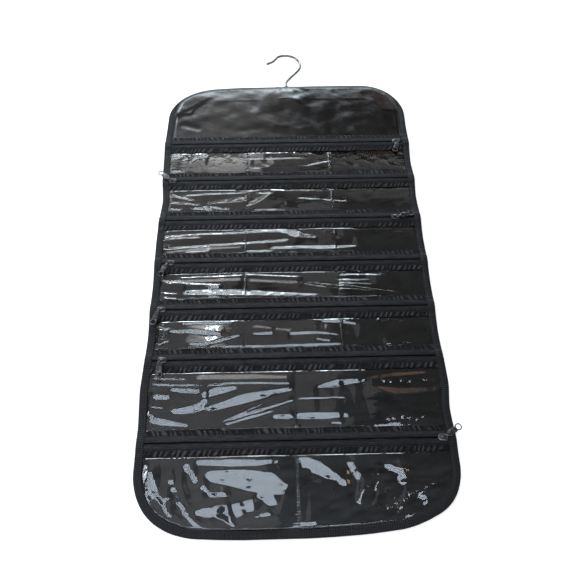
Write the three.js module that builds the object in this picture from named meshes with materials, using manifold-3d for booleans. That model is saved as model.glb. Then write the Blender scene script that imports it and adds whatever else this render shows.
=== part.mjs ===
// A hanging jewelry organizer, laid flat: a bound nylon panel with rows of clear vinyl pockets,
// each row closed by its own coil zip, under a yoke that hides a hanger with a steel hook.
// Millimetres. +X runs to the right, +Y up to the hook and +Z out of the front. The origin is on
// the back of the panel, half way along its height and width.
import * as THREE from 'three';
import { mergeVertices } from 'three/addons/utils/BufferGeometryUtils.js';
import Module from 'manifold-3d';

const wasm = await Module();
wasm.setup();

// Panel outline and pocket rows
const panelWidth = 343;
const yokeDepth = 117.5; // top edge to the first zip
const lowRowPitch = 67; // zip to zip over a low pocket row
const lowRowCount = 5;
const tallRowPitch = 97.5; // zip to zip over the tall pocket row
const bottomRowDepth = 98.5; // last zip to the bottom edge
const topCornerRadius = 62;
const bottomCornerRadius = 70;
const lowRowPockets = 3;
const tallRowPockets = 2;
const lowPocketRise = 5.2; // how far the vinyl stands off the panel
const tallPocketRise = 6;

// Cloth, vinyl and tape
const clothThickness = 0.8;
const yokeThickness = 0.4;
const vinylThickness = 0.4;
const bindingThickness = 0.6;
const bindingWidth = 9;
const bindingTopWidth = 2.5; // front leg along the top edge, where the binding rolls to the back
const tapeThickness = 0.5;
const stripWidth = 29; // both tapes of a zip and the slit between them
const slitWidth = 1.4;
const tapeLip = 4; // level stretch of tape that carries the coil
const tapeMargin = 5; // level stretch of tape that is sewn down
const seamOverlap = 4; // sheet edge that lies under the tape
const dividerSeam = 2; // sewn strip between two pockets

// Clearances
const layerGap = 0.2; // between sewn layers
const runningGap = 0.3; // around what slides or turns
const edgeGap = 0.4; // beside the edge of a sheet or tape

// Zip coil, slider and pull
const coilWidth = 2.6;
const coilHeight = 1.2;
const sliderLength = 10.5;
const sliderFrontWidth = 8.6;
const sliderRearWidth = 6.8;
const sliderCorner = 1.6;
const lowerPlateThickness = 0.8;
const upperPlateThickness = 1.3;
const sliderNeckLength = 3;
const bridgeSpan = 5.2; // between the middles of the bridge's two legs
const bridgeLeg = 0.9;
const bridgeWidth = 2;
const bridgeThickness = 0.8;
const pullThickness = 1.2;
const pullReach = 18.5; // bridge leg to the middle of the end ring
const pullEyeRim = 1.2;
const pullTabWidth = 6.7;
const pullRingRadius = 3.95;
const pullRingHole = 2.8;

// Zips from the top down: the end that each slider is parked at (-1 left, 1 right), how far it
// stands from its stop there, and the way its pull lies, in degrees from +X.
const parkedEnd = [1, -1, 1, -1, -1, -1, 1];
const parkedGap = [4, 0, 19, 5.5, 0, 6, 0];
const pullTurn = [-108, 138, 13, 247, 253, 272, 35];

// Hanger and hook
const hangerHeight = 12;
const hangerThickness = 3.6;
const hangerShoulderSweep = 70; // degrees that each end follows round the corner
const yokeRollRun = 7; // how far in from the binding the yoke rises to the hanger
const bossWidth = 16;
const bossDrop = 5; // boss below the hanger bar
const bossThickness = 6.2;
const wireDiameter = 3;
const hookRadius = 22.5;
const hookCentreHeight = 44; // above the top edge
const hookNeck = 5; // straight wire above the top edge
const hookBend = [8, 17.5]; // the bend from the neck into the curl, from the neck's foot
const hookFlare = [-19, 53.5]; // the wire's run out to its tip, from the neck's foot
const hookTip = [-27.7, 48];
const hookHeadRadius = 2.6;
const hookHeadLength = 2;

// Facets
const cornerSteps = 10;
const yokeTopSteps = 14; // along the straight of the top edge
const lowCrownSteps = 5;
const tallCrownSteps = 7;
const wireSides = 8;
const wireSteps = 44;
const roundSegments = 6; // in each arc of a pull

// Heights of the layers, from the back of the panel up
const panelUnder = bindingThickness + layerGap;
const panelTop = panelUnder + clothThickness;
const sheetUnder = panelTop + layerGap;
const sheetTop = sheetUnder + Math.max(vinylThickness, yokeThickness);
const marginUnder = sheetTop + layerGap;
const lowerPlateUnder = panelTop + runningGap;
const lowerPlateTop = lowerPlateUnder + lowerPlateThickness;
const coilUnder = lowerPlateTop + runningGap;
const lipUnder = coilUnder + coilHeight + layerGap;
const upperPlateUnder = lipUnder + tapeThickness + runningGap;
const upperPlateTop = upperPlateUnder + upperPlateThickness;
const pullUnder = upperPlateTop + runningGap;
const bridgeUnder = pullUnder + pullThickness + runningGap;
const hangerUnder = panelTop + runningGap;
const hookLevel = hangerUnder + bossThickness / 2;

// Places across the panel
const lowRowsHeight = lowRowCount * lowRowPitch;
const panelHeight = yokeDepth + lowRowsHeight + tallRowPitch + bottomRowDepth;
const topEdge = panelHeight / 2;
const bottomEdge = -panelHeight / 2;
const sheetInset = bindingThickness + edgeGap; // from the outline to a sheet's own edge
const crownInset = bindingWidth + edgeGap; // from the outline to where a sheet may rise
const stripHalf = stripWidth / 2;
const lipEdge = slitWidth / 2 + tapeLip;
const marginEdge = stripHalf - tapeMargin;
const seamEdge = stripHalf - seamOverlap; // from a zip to the hidden edge of a sheet
const crownEdge = stripHalf + edgeGap; // from a zip to where a sheet may rise
const zipCount = lowRowCount + 2;
const zipY = [];
for (let zip = 0; zip < zipCount; zip += 1) {
  const lowPitches = Math.min(zip, lowRowCount);
  const tallPitches = zip - lowPitches;
  zipY.push(topEdge - yokeDepth - lowPitches * lowRowPitch - tallPitches * tallRowPitch);
}
const coilEnd = panelWidth / 2 - crownInset;
const sliderStop = panelWidth / 2 - crownInset - sliderLength / 2;

// Finishes
const finish = (color, roughness, metalness) =>
  new THREE.MeshStandardMaterial({ color, roughness, metalness });
const nylon = finish(0x1d1d21, 0.55, 0);
const grosgrain = finish(0x202022, 0.8, 0);
const tapeWeave = finish(0x1a1a1d, 0.75, 0);
const coilNylon = finish(0x101012, 0.4, 0);
const blackMetal = finish(0x17171a, 0.35, 0.6);
const hangerPlastic = finish(0x151517, 0.5, 0);
const steelWire = finish(0xb9babd, 0.2, 1);
const vinyl = finish(0xaab4bd, 0.08, 0);
vinyl.transparent = true;
vinyl.opacity = 0.3;

// Solids

// A closed mesh as a solid that can be joined and cut.
function toSolid(geometry) {
  const bare = geometry.clone();
  bare.deleteAttribute('normal');
  bare.deleteAttribute('uv');
  const merged = mergeVertices(bare, 1e-4);
  return new wasm.Manifold(new wasm.Mesh({
    numProp: 3,
    vertProperties: Float32Array.from(merged.attributes.position.array),
    triVerts: Uint32Array.from(merged.index.array),
  }));
}

function toGeometry(solid) {
  const mesh = solid.getMesh();
  const geometry = new THREE.BufferGeometry();
  geometry.setAttribute('position', new THREE.BufferAttribute(mesh.vertProperties, 3));
  geometry.setIndex(new THREE.BufferAttribute(mesh.triVerts, 1));
  return geometry;
}

const join = (...geometries) =>
  toGeometry(geometries.map(toSolid).reduce((whole, piece) => whole.add(piece)));

const cut = (geometry, tool) => toGeometry(toSolid(geometry).subtract(toSolid(tool)));

// A flat outline given thickness between two heights.
function plate(shape, low, high) {
  const flat = { depth: high - low, bevelEnabled: false, curveSegments: cornerSteps };
  return new THREE.ExtrudeGeometry(shape, flat).translate(0, 0, low);
}

function block(x, y, z, width, height, depth) {
  return new THREE.BoxGeometry(width, height, depth).translate(x, y, z);
}

function shapeOf(points) {
  return new THREE.Shape(points.map(([x, y]) => new THREE.Vector2(x, y)));
}

// An outline in Y and Z, carried along X over the width from -halfLength to halfLength.
function barAcross(points, halfLength) {
  const bar = new THREE.ExtrudeGeometry(shapeOf(points), { depth: 2 * halfLength, bevelEnabled: false });
  return bar.rotateY(Math.PI / 2).rotateX(Math.PI / 2).translate(-halfLength, 0, 0);
}

// Triangles of a mesh made of four-cornered cells, turned so that they face out.
function facingOut(positions, cells) {
  const triangles = cells.flatMap(([a, b, c, d]) => [a, b, c, a, c, d]);
  const corner = (index) => new THREE.Vector3().fromArray(positions, 3 * index);
  let volume = 0;
  for (let at = 0; at < triangles.length; at += 3) {
    const [a, b, c] = triangles.slice(at, at + 3).map(corner);
    volume += a.dot(b.cross(c));
  }
  const geometry = new THREE.BufferGeometry();
  geometry.setAttribute('position', new THREE.Float32BufferAttribute(positions, 3));
  geometry.setIndex(volume < 0 ? triangles.reverse() : triangles);
  return geometry;
}

// A sheet over a grid of points: the points are its underside, and its top is one thickness up.
function sheet(grid, thickness) {
  const lines = grid.length;
  const columns = grid[0].length;
  const positions = [];
  for (const lift of [0, thickness]) {
    for (const [x, y, z] of grid.flat()) positions.push(x, y, z + lift);
  }
  const under = (line, column) => line * columns + column;
  const over = (line, column) => (lines + line) * columns + column;
  const cells = [];
  for (let line = 0; line + 1 < lines; line += 1) {
    for (let column = 0; column + 1 < columns; column += 1) {
      const here = [line, column];
      const right = [line, column + 1];
      const below = [line + 1, column];
      const across = [line + 1, column + 1];
      cells.push([over(...here), over(...right), over(...across), over(...below)]);
      cells.push([under(...here), under(...below), under(...across), under(...right)]);
    }
  }
  const rim = [];
  for (let column = 0; column < columns; column += 1) rim.push([0, column]);
  for (let line = 1; line < lines; line += 1) rim.push([line, columns - 1]);
  for (let column = columns - 2; column >= 0; column -= 1) rim.push([lines - 1, column]);
  for (let line = lines - 2; line > 0; line -= 1) rim.push([line, 0]);
  rim.forEach((here, at) => {
    const next = rim[(at + 1) % rim.length];
    cells.push([under(...here), under(...next), over(...next), over(...here)]);
  });
  return facingOut(positions, cells);
}

// A closed profile carried round a closed path, as a ring.
function ring(profiles) {
  const sides = profiles[0].length;
  const cells = [];
  profiles.forEach((_, station) => {
    const next = (station + 1) % profiles.length;
    for (let side = 0; side < sides; side += 1) {
      const beside = (side + 1) % sides;
      const corners = [[station, side], [station, beside], [next, beside], [next, side]];
      cells.push(corners.map(([at, point]) => at * sides + point));
    }
  });
  return facingOut(profiles.flat(2), cells);
}

// Panel outline

// The rounded outline of the panel, drawn in by an inset.
function panelShape(inset) {
  const x = panelWidth / 2;
  const shape = new THREE.Shape();
  const corner = (side, edge, radius, from) => {
    const y = edge - Math.sign(edge) * radius;
    shape.absarc(side * (x - radius), y, radius - inset, from, from + Math.PI / 2);
  };
  corner(1, topEdge, topCornerRadius, 0);
  corner(-1, topEdge, topCornerRadius, Math.PI / 2);
  corner(-1, bottomEdge, bottomCornerRadius, Math.PI);
  corner(1, bottomEdge, bottomCornerRadius, 1.5 * Math.PI);
  shape.closePath();
  return shape;
}

// Half the panel's width at a height near its foot, drawn in by an inset.
function halfWidthAt(y, inset) {
  const intoCorner = Math.max(0, bottomEdge + bottomCornerRadius - y);
  const radius = bottomCornerRadius - inset;
  const drop = Math.min(intoCorner, radius);
  return panelWidth / 2 - bottomCornerRadius + Math.sqrt(radius ** 2 - drop ** 2);
}

// The binding's front leg round a top corner: its full width up the side, then narrowing to the
// width along the top. The angle is 0 at the side and a quarter turn at the top.
function topCornerLeg(angle) {
  const ease = THREE.MathUtils.smoothstep(angle, Math.PI / 4, Math.PI / 2);
  return THREE.MathUtils.lerp(bindingWidth, bindingTopWidth, ease);
}

// Back panel: thick enough to lie flush with the binding, and rebated under it all round.
function backPanel() {
  const margin = plate(panelShape(sheetInset), panelUnder, panelTop);
  const middle = plate(panelShape(crownInset), 0, panelTop);
  return join(margin, middle);
}

// Edge binding: a tape folded round the edge, which climbs over the ends of the zips.
function edgeBinding() {
  const climb = [
    [stripHalf + edgeGap + bindingThickness, sheetTop],
    [stripHalf + edgeGap, marginUnder + tapeThickness],
    [marginEdge, marginUnder + tapeThickness],
    [lipEdge, lipUnder + tapeThickness],
  ];
  const overZip = [
    ...climb.map(([offset, level]) => [-offset, level]),
    ...climb.map(([offset, level]) => [offset, level]).reverse(),
  ];
  const side = [...zipY].reverse().flatMap((y) => overZip.map(([offset, level]) => [y + offset, level]));
  const profiles = [];
  const station = (x, y, inX, inY, leg, level) => {
    const under = level + layerGap;
    const at = (inset, z) => [x + inX * inset, y + inY * inset, z];
    profiles.push([
      at(0, 0),
      at(bindingWidth, 0),
      at(bindingWidth, bindingThickness),
      at(bindingThickness, bindingThickness),
      at(bindingThickness, under),
      at(leg, under),
      at(leg, under + bindingThickness),
      at(0, under + bindingThickness),
    ]);
  };
  const corner = (sideX, edge, radius, from, legAt) => {
    const x = sideX * (panelWidth / 2 - radius);
    const y = edge - Math.sign(edge) * radius;
    for (let step = 0; step <= cornerSteps; step += 1) {
      const angle = from + (step / cornerSteps) * (Math.PI / 2);
      const outX = Math.cos(angle);
      const outY = Math.sin(angle);
      station(x + radius * outX, y + radius * outY, -outX, -outY, legAt(angle), sheetTop);
    }
  };
  for (const [y, level] of side) station(panelWidth / 2, y, -1, 0, bindingWidth, level);
  corner(1, topEdge, topCornerRadius, 0, topCornerLeg);
  corner(-1, topEdge, topCornerRadius, Math.PI / 2, (angle) => topCornerLeg(Math.PI - angle));
  for (const [y, level] of [...side].reverse()) station(-panelWidth / 2, y, 1, 0, bindingWidth, level);
  corner(-1, bottomEdge, bottomCornerRadius, Math.PI, () => bindingWidth);
  corner(1, bottomEdge, bottomCornerRadius, 1.5 * Math.PI, () => bindingWidth);
  return ring(profiles);
}

// Hanger and yoke

// The hanger follows the top of the outline, far enough in for the yoke to rise over it.
const hangerInset = crownInset + yokeRollRun + runningGap;
const hangerOuter = topCornerRadius - hangerInset;
const hangerInner = hangerOuter - hangerHeight;
const shoulderX = panelWidth / 2 - topCornerRadius;
const shoulderY = topEdge - topCornerRadius;
const shoulderEnd = THREE.MathUtils.degToRad(90 - hangerShoulderSweep);
const hangerTop = topEdge - hangerInset;
const yokeColumn = (2 * shoulderX) / yokeTopSteps; // between the yoke's columns of points
const bossFoot = hangerTop - hangerHeight - bossDrop;

function hangerBar() {
  const shape = new THREE.Shape();
  const middle = (hangerOuter + hangerInner) / 2;
  const tip = (side) => [
    side * (shoulderX + middle * Math.cos(shoulderEnd)),
    shoulderY + middle * Math.sin(shoulderEnd),
  ];
  const left = Math.PI - shoulderEnd;
  shape.absarc(shoulderX, shoulderY, hangerOuter, shoulderEnd, Math.PI / 2);
  shape.absarc(-shoulderX, shoulderY, hangerOuter, Math.PI / 2, left);
  shape.absarc(...tip(-1), hangerHeight / 2, left, left + Math.PI);
  shape.absarc(-shoulderX, shoulderY, hangerInner, left, Math.PI / 2, true);
  shape.absarc(shoulderX, shoulderY, hangerInner, Math.PI / 2, shoulderEnd, true);
  shape.absarc(...tip(1), hangerHeight / 2, shoulderEnd - Math.PI, shoulderEnd);
  return plate(shape, hangerUnder, hangerUnder + hangerThickness);
}

function hanger() {
  const height = hangerTop - bossFoot;
  const bossY = (hangerTop + bossFoot) / 2;
  const boss = block(0, bossY, hookLevel, bossWidth, height, bossThickness);
  const bore = new THREE.CylinderGeometry(
    wireDiameter / 2 + runningGap, wireDiameter / 2 + runningGap, 2 * height, 2 * wireSides,
  );
  return cut(join(hangerBar(), boss), bore.translate(0, bossY, hookLevel));
}

// Where the yoke may start to come down from the hanger: just under the hanger's ends.
const hangerFoot = shoulderY + hangerInner * Math.sin(shoulderEnd) - hangerHeight / 2;

// How far the yoke is lifted over the hanger bar, and further over the boss and the hook's head.
function yokeLift(x, y) {
  const { smoothstep } = THREE.MathUtils;
  const down = smoothstep(y, zipY[0] + crownEdge, hangerFoot);
  const bossReach = bossWidth / 2 + yokeColumn;
  const beside = 1 - smoothstep(Math.abs(x), bossReach, 2 * bossReach);
  const headFoot = bossFoot - hookHeadLength - 2 * runningGap;
  const below = smoothstep(y, hangerFoot, headFoot);
  return (hangerThickness + runningGap) * down + (bossThickness - hangerThickness) * beside * below;
}

// The yoke: flat under the binding, rolled up over the hanger, and down again to the first zip.
// Each column of points runs in from the outline to the foot of the roll, and under that zip.
function yokeGrid() {
  const foot = zipY[0] + crownEdge;
  const columns = [];
  const halfFoot = panelWidth / 2 - crownInset - 3 * yokeRollRun;
  const column = (x, y, outX, outY, leg) => columns.push({ x, y, outX, outY, leg });
  const sideSteps = 3;
  const cornerColumn = (side, angle) => {
    const outX = Math.cos(angle);
    const outY = Math.sin(angle);
    const x = side * (shoulderX + topCornerRadius * outX);
    column(x, shoulderY + topCornerRadius * outY, side * outX, outY, topCornerLeg(angle));
  };
  for (let step = 0; step < sideSteps; step += 1) {
    column(-panelWidth / 2, THREE.MathUtils.lerp(foot, shoulderY, step / sideSteps), -1, 0, bindingWidth);
  }
  for (let step = 0; step < cornerSteps; step += 1) cornerColumn(-1, (step / cornerSteps) * (Math.PI / 2));
  for (let step = 0; step <= yokeTopSteps; step += 1) {
    column(yokeColumn * step - shoulderX, topEdge, 0, 1, bindingTopWidth);
  }
  for (let step = cornerSteps - 1; step >= 0; step -= 1) cornerColumn(1, (step / cornerSteps) * (Math.PI / 2));
  for (let step = sideSteps - 1; step >= 0; step -= 1) {
    column(panelWidth / 2, THREE.MathUtils.lerp(foot, shoulderY, step / sideSteps), 1, 0, bindingWidth);
  }
  return columns.map(({ x, y, outX, outY, leg }, at) => {
    const inset = (distance) => [x - outX * distance, y - outY * distance];
    const rise = leg + edgeGap;
    const points = [[...inset(sheetInset), sheetUnder], [...inset(rise), sheetUnder]];
    for (const turn of [30, 60, 90].map(THREE.MathUtils.degToRad)) {
      const [px, py] = inset(rise + yokeRollRun * (1 - Math.cos(turn)));
      points.push([px, py, sheetUnder + yokeLift(px, py) * Math.sin(turn)]);
    }
    const [startX, startY] = inset(rise + yokeRollRun);
    const footX = THREE.MathUtils.lerp(-halfFoot, halfFoot, at / (columns.length - 1));
    for (const share of [0.15, 0.3, 0.45, 0.6, 0.8, 1]) {
      const px = THREE.MathUtils.lerp(startX, footX, share);
      const py = THREE.MathUtils.lerp(startY, foot, share);
      points.push([px, py, sheetUnder + yokeLift(px, py)]);
    }
    points.push([footX, zipY[0] + seamEdge, sheetUnder]);
    return points;
  });
}

// The buttonhole in the yoke's roll, which the hook's wire comes out through.
function yokePanel() {
  const radius = wireDiameter / 2 + edgeGap;
  const length = 2 * (bindingTopWidth + edgeGap + yokeRollRun);
  const buttonhole = new THREE.CylinderGeometry(radius, radius, length, 2 * wireSides);
  return cut(sheet(yokeGrid(), yokeThickness), buttonhole.translate(0, topEdge, hookLevel));
}

// The hook: a wire from its head under the boss, up through the top edge and round its curl.
function hookCurve() {
  const points = [[0, bossFoot - runningGap - hookHeadLength - topEdge], [0, 0], [0, hookNeck], hookBend];
  for (let angle = -40; angle <= 120; angle += 32) {
    const turn = THREE.MathUtils.degToRad(angle);
    points.push([hookRadius * Math.cos(turn), hookCentreHeight + hookRadius * Math.sin(turn)]);
  }
  points.push(hookFlare, hookTip);
  return new THREE.CatmullRomCurve3(points.map(([x, y]) => new THREE.Vector3(x, topEdge + y, hookLevel)));
}

function hook() {
  const section = new THREE.Shape().absarc(0, 0, wireDiameter / 2, 0, 2 * Math.PI);
  const wire = new THREE.ExtrudeGeometry(section, {
    steps: wireSteps, curveSegments: wireSides, extrudePath: hookCurve(),
  });
  const head = new THREE.CylinderGeometry(hookHeadRadius, hookHeadRadius, hookHeadLength, 2 * wireSides);
  return join(wire, head.translate(0, bossFoot - runningGap - hookHeadLength / 2, hookLevel));
}

// Pockets

// One row's vinyl: sewn flat round its edges and along the seams between its pockets, and
// crowned over each pocket. The crown is 1 - |t|^6 across a pocket and 1 - |t|^3 down it, where
// t runs from -1 to 1.
function pocketWindow(row) {
  const last = row === zipCount - 1;
  const low = row < lowRowCount;
  const pockets = low ? lowRowPockets : tallRowPockets;
  const rise = low ? lowPocketRise : tallPocketRise;
  const steps = low ? lowCrownSteps : tallCrownSteps;
  const crownTop = zipY[row] - crownEdge;
  const crownFoot = last ? bottomEdge + crownInset : zipY[row + 1] + crownEdge;
  const line = (y, down) => {
    const half = halfWidthAt(y, sheetInset);
    const crownHalf = Math.min(halfWidthAt(y, crownInset), half - edgeGap);
    const points = [[-half, y, sheetUnder]];
    for (let pocket = 0; pocket < pockets; pocket += 1) {
      const seamAt = (number) => (panelWidth / pockets) * number - panelWidth / 2;
      const left = pocket === 0 ? -crownHalf : seamAt(pocket) + dividerSeam / 2;
      const right = pocket === pockets - 1 ? crownHalf : seamAt(pocket + 1) - dividerSeam / 2;
      for (let step = 0; step <= steps; step += 1) {
        const across = (2 * step) / steps - 1;
        const crown = (1 - Math.abs(across) ** 6) * (1 - Math.abs(down) ** 3);
        points.push([THREE.MathUtils.lerp(left, right, step / steps), y, sheetUnder + rise * crown]);
      }
    }
    points.push([half, y, sheetUnder]);
    return points;
  };
  const grid = [line(zipY[row] - seamEdge, -1)];
  for (let step = 0; step <= steps; step += 1) {
    grid.push(line(THREE.MathUtils.lerp(crownTop, crownFoot, step / steps), (2 * step) / steps - 1));
  }
  grid.push(line(last ? bottomEdge + sheetInset : zipY[row + 1] + seamEdge, 1));
  return sheet(grid, vinylThickness);
}

// Zips

// One tape of a zip, above (side 1) or below (side -1) its slit: level at the lip over the coil
// and again along its sewn margin, with a slope between.
function zipTape(side) {
  const under = [
    [slitWidth / 2, lipUnder], [lipEdge, lipUnder], [marginEdge, marginUnder], [stripHalf, marginUnder],
  ];
  const over = under.map(([y, z]) => [y, z + tapeThickness]).reverse();
  const outline = [...under, ...over].map(([y, z]) => [side * y, z]);
  return barAcross(side > 0 ? outline : outline.reverse(), panelWidth / 2 - sheetInset);
}

// The coil sewn under one tape's lip, as a bar with its edges taken off.
function zipCoil(side) {
  const near = slitWidth / 2 + layerGap;
  const far = near + coilWidth;
  const edge = coilHeight / 3;
  const top = coilUnder + coilHeight;
  const outline = [
    [near + edge, coilUnder], [far - edge, coilUnder], [far, coilUnder + edge], [far, top - edge],
    [far - edge, top], [near + edge, top], [near, top - edge], [near, coilUnder + edge],
  ].map(([y, z]) => [side * y, z]);
  return barAcross(side > 0 ? outline : outline.reverse(), coilEnd);
}

// The slider: two plates held together by a neck that runs in the slit, and a bridge for the
// pull. Its front is towards +X.
function slider() {
  const front = sliderFrontWidth / 2;
  const rear = sliderRearWidth / 2;
  const nose = sliderLength / 2;
  const outline = shapeOf([
    [-nose, -rear], [nose - sliderCorner, -front], [nose, sliderCorner - front],
    [nose, front - sliderCorner], [nose - sliderCorner, front], [-nose, rear],
  ]);
  const neckWidth = slitWidth - 2 * runningGap;
  const neckHeight = upperPlateTop - lowerPlateUnder;
  const neckX = nose - sliderNeckLength / 2 - edgeGap;
  const neckZ = (upperPlateTop + lowerPlateUnder) / 2;
  const outer = (bridgeSpan + bridgeLeg) / 2;
  const inner = (bridgeSpan - bridgeLeg) / 2;
  const foot = (upperPlateUnder + upperPlateTop) / 2;
  const crest = bridgeUnder + bridgeThickness;
  const arch = shapeOf([
    [-outer, foot], [-inner, foot], [-inner, bridgeUnder], [inner, bridgeUnder], [inner, foot],
    [outer, foot], [outer, crest - bridgeThickness / 2], [outer - bridgeThickness / 2, crest],
    [bridgeThickness / 2 - outer, crest], [-outer, crest - bridgeThickness / 2],
  ]);
  const bridge = new THREE.ExtrudeGeometry(arch, { depth: bridgeWidth, bevelEnabled: false });
  return join(
    plate(outline, lowerPlateUnder, lowerPlateTop),
    plate(outline, upperPlateUnder, upperPlateTop),
    block(neckX, 0, neckZ, sliderNeckLength, neckWidth, neckHeight),
    bridge.rotateX(Math.PI / 2).translate(0, bridgeWidth / 2, 0),
  );
}

// The pull: an eye round a leg of the bridge, a tab that widens from it, and a ring at its end.
function pull() {
  const eyeHole = Math.hypot(bridgeLeg, bridgeWidth) / 2 + runningGap;
  const eye = eyeHole + pullEyeRim;
  const half = pullTabWidth / 2;
  const third = (2 * Math.PI) / 3;
  const shape = new THREE.Shape();
  shape.absarc(0, 0, eye, third / 2, 2 * Math.PI - third / 2);
  shape.lineTo(eye + half, -half);
  shape.lineTo(pullReach - pullRingRadius, -half);
  shape.absarc(pullReach, 0, pullRingRadius, -third, third);
  shape.lineTo(pullReach - pullRingRadius, half);
  shape.lineTo(eye + half, half);
  shape.closePath();
  shape.holes.push(new THREE.Path().absarc(0, 0, eyeHole, 0, 2 * Math.PI, true));
  shape.holes.push(new THREE.Path().absarc(pullReach, 0, pullRingHole, 0, 2 * Math.PI, true));
  const flat = { depth: pullThickness, bevelEnabled: false, curveSegments: roundSegments };
  return new THREE.ExtrudeGeometry(shape, flat).translate(0, 0, pullUnder);
}

// Assembly
const organizer = new THREE.Group();

function add(parent, name, geometry, material) {
  const mesh = new THREE.Mesh(geometry, material);
  mesh.name = name;
  parent.add(mesh);
  return mesh;
}

add(organizer, 'back_panel', backPanel(), nylon);
add(organizer, 'edge_binding', edgeBinding(), grosgrain);
add(organizer, 'yoke_panel', yokePanel(), nylon);
add(organizer, 'hanger', hanger(), hangerPlastic);
add(organizer, 'hook', hook(), steelWire);

const upperTape = zipTape(1);
const lowerTape = zipTape(-1);
const upperCoil = zipCoil(1);
const lowerCoil = zipCoil(-1);
const sliderBody = slider();
const pullTab = pull();

for (let row = 0; row < zipCount; row += 1) {
  const number = row + 1;
  add(organizer, `pocket_window_${number}`, pocketWindow(row), vinyl);

  const zip = new THREE.Group();
  zip.position.y = zipY[row];
  organizer.add(zip);
  add(zip, `zip_${number}_upper_tape`, upperTape, tapeWeave);
  add(zip, `zip_${number}_lower_tape`, lowerTape, tapeWeave);
  add(zip, `zip_${number}_upper_coil`, upperCoil, coilNylon);
  add(zip, `zip_${number}_lower_coil`, lowerCoil, coilNylon);

  const end = parkedEnd[row];
  const runner = new THREE.Group();
  runner.position.x = end * (sliderStop - parkedGap[row]);
  zip.add(runner);
  const body = add(runner, `zip_${number}_slider`, sliderBody, blackMetal);
  body.rotation.z = end > 0 ? 0 : Math.PI;
  const tab = add(runner, `zip_${number}_pull`, pullTab, blackMetal);
  tab.position.x = (end * bridgeSpan) / 2;
  tab.rotation.z = THREE.MathUtils.degToRad(pullTurn[row]);
}

export default organizer;
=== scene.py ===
"""Hanging jewelry organizer: a black nylon panel with seven zipped rows of clear vinyl pockets,
a bound edge, a yoke over a hidden hanger, and a bent wire hook."""

import math

import bpy
import numpy as np
from mathutils import Matrix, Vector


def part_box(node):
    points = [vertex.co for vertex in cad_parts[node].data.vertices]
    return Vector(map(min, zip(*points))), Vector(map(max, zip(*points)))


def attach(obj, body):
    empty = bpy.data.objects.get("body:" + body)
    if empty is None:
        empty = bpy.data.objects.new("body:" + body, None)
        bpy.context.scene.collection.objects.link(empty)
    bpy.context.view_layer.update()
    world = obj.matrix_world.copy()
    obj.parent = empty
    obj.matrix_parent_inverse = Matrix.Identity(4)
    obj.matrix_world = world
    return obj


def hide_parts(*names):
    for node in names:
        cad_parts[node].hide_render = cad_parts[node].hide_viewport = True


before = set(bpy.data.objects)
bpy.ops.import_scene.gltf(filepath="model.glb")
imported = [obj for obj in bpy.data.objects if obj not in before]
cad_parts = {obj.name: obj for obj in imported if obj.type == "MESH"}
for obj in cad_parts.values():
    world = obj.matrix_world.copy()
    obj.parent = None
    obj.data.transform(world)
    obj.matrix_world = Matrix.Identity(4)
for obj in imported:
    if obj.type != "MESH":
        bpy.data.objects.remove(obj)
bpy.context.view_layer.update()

MM = 0.001
ROWS = range(1, 8)


def node_box(name):
    """A node's lowest and highest corner in millimetres."""
    low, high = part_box(name)
    return np.array(low) / MM, np.array(high) / MM


# Sizes of the sewn panel, in millimetres: +x to the right, +y to the hook, +z out of the front.
EDGE_LOW, EDGE_HIGH = node_box("edge_binding")
HALF = (EDGE_HIGH[0] - EDGE_LOW[0]) / 2
TOP, FOOT = EDGE_HIGH[1], EDGE_LOW[1]
TOP_CORNER = 62.0
FOOT_CORNER = 70.0
ZIP = {
    k: (node_box(f"zip_{k}_upper_tape")[0][1] + node_box(f"zip_{k}_lower_tape")[1][1]) / 2
    for k in ROWS
}
CLOTH_TOP = 1.6  # front of the back panel
SHEET_TOP = 2.2  # front of the vinyl and yoke where they are sewn down
TAPE_LIP = 4.9  # front of a zip tape beside its slit
TAPE_MARGIN = 2.9  # front of a zip tape where it is sewn down
TAPE_REACH = 14.5  # slit's middle to a tape's outer edge
TAPE_STITCH = 7.6  # slit's middle to the stitches at the foot of the tape's slope
TAPE_HEM = 13.2  # slit's middle to the seam near its outer edge
SLIT = 0.7  # half the slit's width
TUCK = 10.5  # a pocket sheet ends this far from the zip, under its tape
CROWN = 14.9  # it may rise this far from the zip, just past the tape
LEG = 9.0  # width of the binding
TOP_LEG = 2.5  # what shows of it along the top edge
BOUND = 9.2  # the binding ends this far inside the outline, with a little slack
BOSS_Y = 299.0  # middle of the hanger's boss
TRUE_HALF = 118.0  # the sides wander only further than this from the middle
SEAMS = {k: ((-57.17, 57.17) if k < 6 else (0.0,)) for k in ROWS}
SEAM_STEP = 2.9  # from one stitch of a dividing seam to the next
PARKED = {1: 1, 2: -1, 3: 1, 4: -1, 5: -1, 6: -1, 7: 1}  # the end each slider is at
PULL_TURN = {1: -108, 2: 138, 3: 13, 4: 247, 5: 253, 6: 272, 7: 35}  # in degrees
HOOK_Z = 5.0  # height of the hook's wire
STEM_FOOT = 36.0  # the wire's stem reaches this far below the top edge
WIRE_RADIUS = 1.8
AHEAD, UPWARD, OUTWARD = [1.0, 0.0, 0.0], [0.0, 1.0, 0.0], [0.0, 0.0, 1.0]


# Shapes


def ripple(x, y, long_x, long_y, seed, count=22):
    """Sine waves of seeded direction and phase, about long_x by long_y millimetres, summed to unit spread."""
    rng = np.random.default_rng(seed)
    along, across = rng.normal(0, 1, count) / long_x, rng.normal(0, 1, count) / long_y
    phase = rng.uniform(0, 2 * np.pi, count)
    total = np.zeros(np.broadcast(x, y).shape)
    for a, b, c in zip(along, across, phase):
        total += np.sin(2 * np.pi * (a * x + b * y) + c)
    return total / math.sqrt(count / 2)


def ease(value, start, end):
    """0 at start, 1 at end, and a cubic with level ends between them."""
    t = np.clip((value - start) / (end - start), 0, 1)
    return t * t * (3 - 2 * t)


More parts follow.
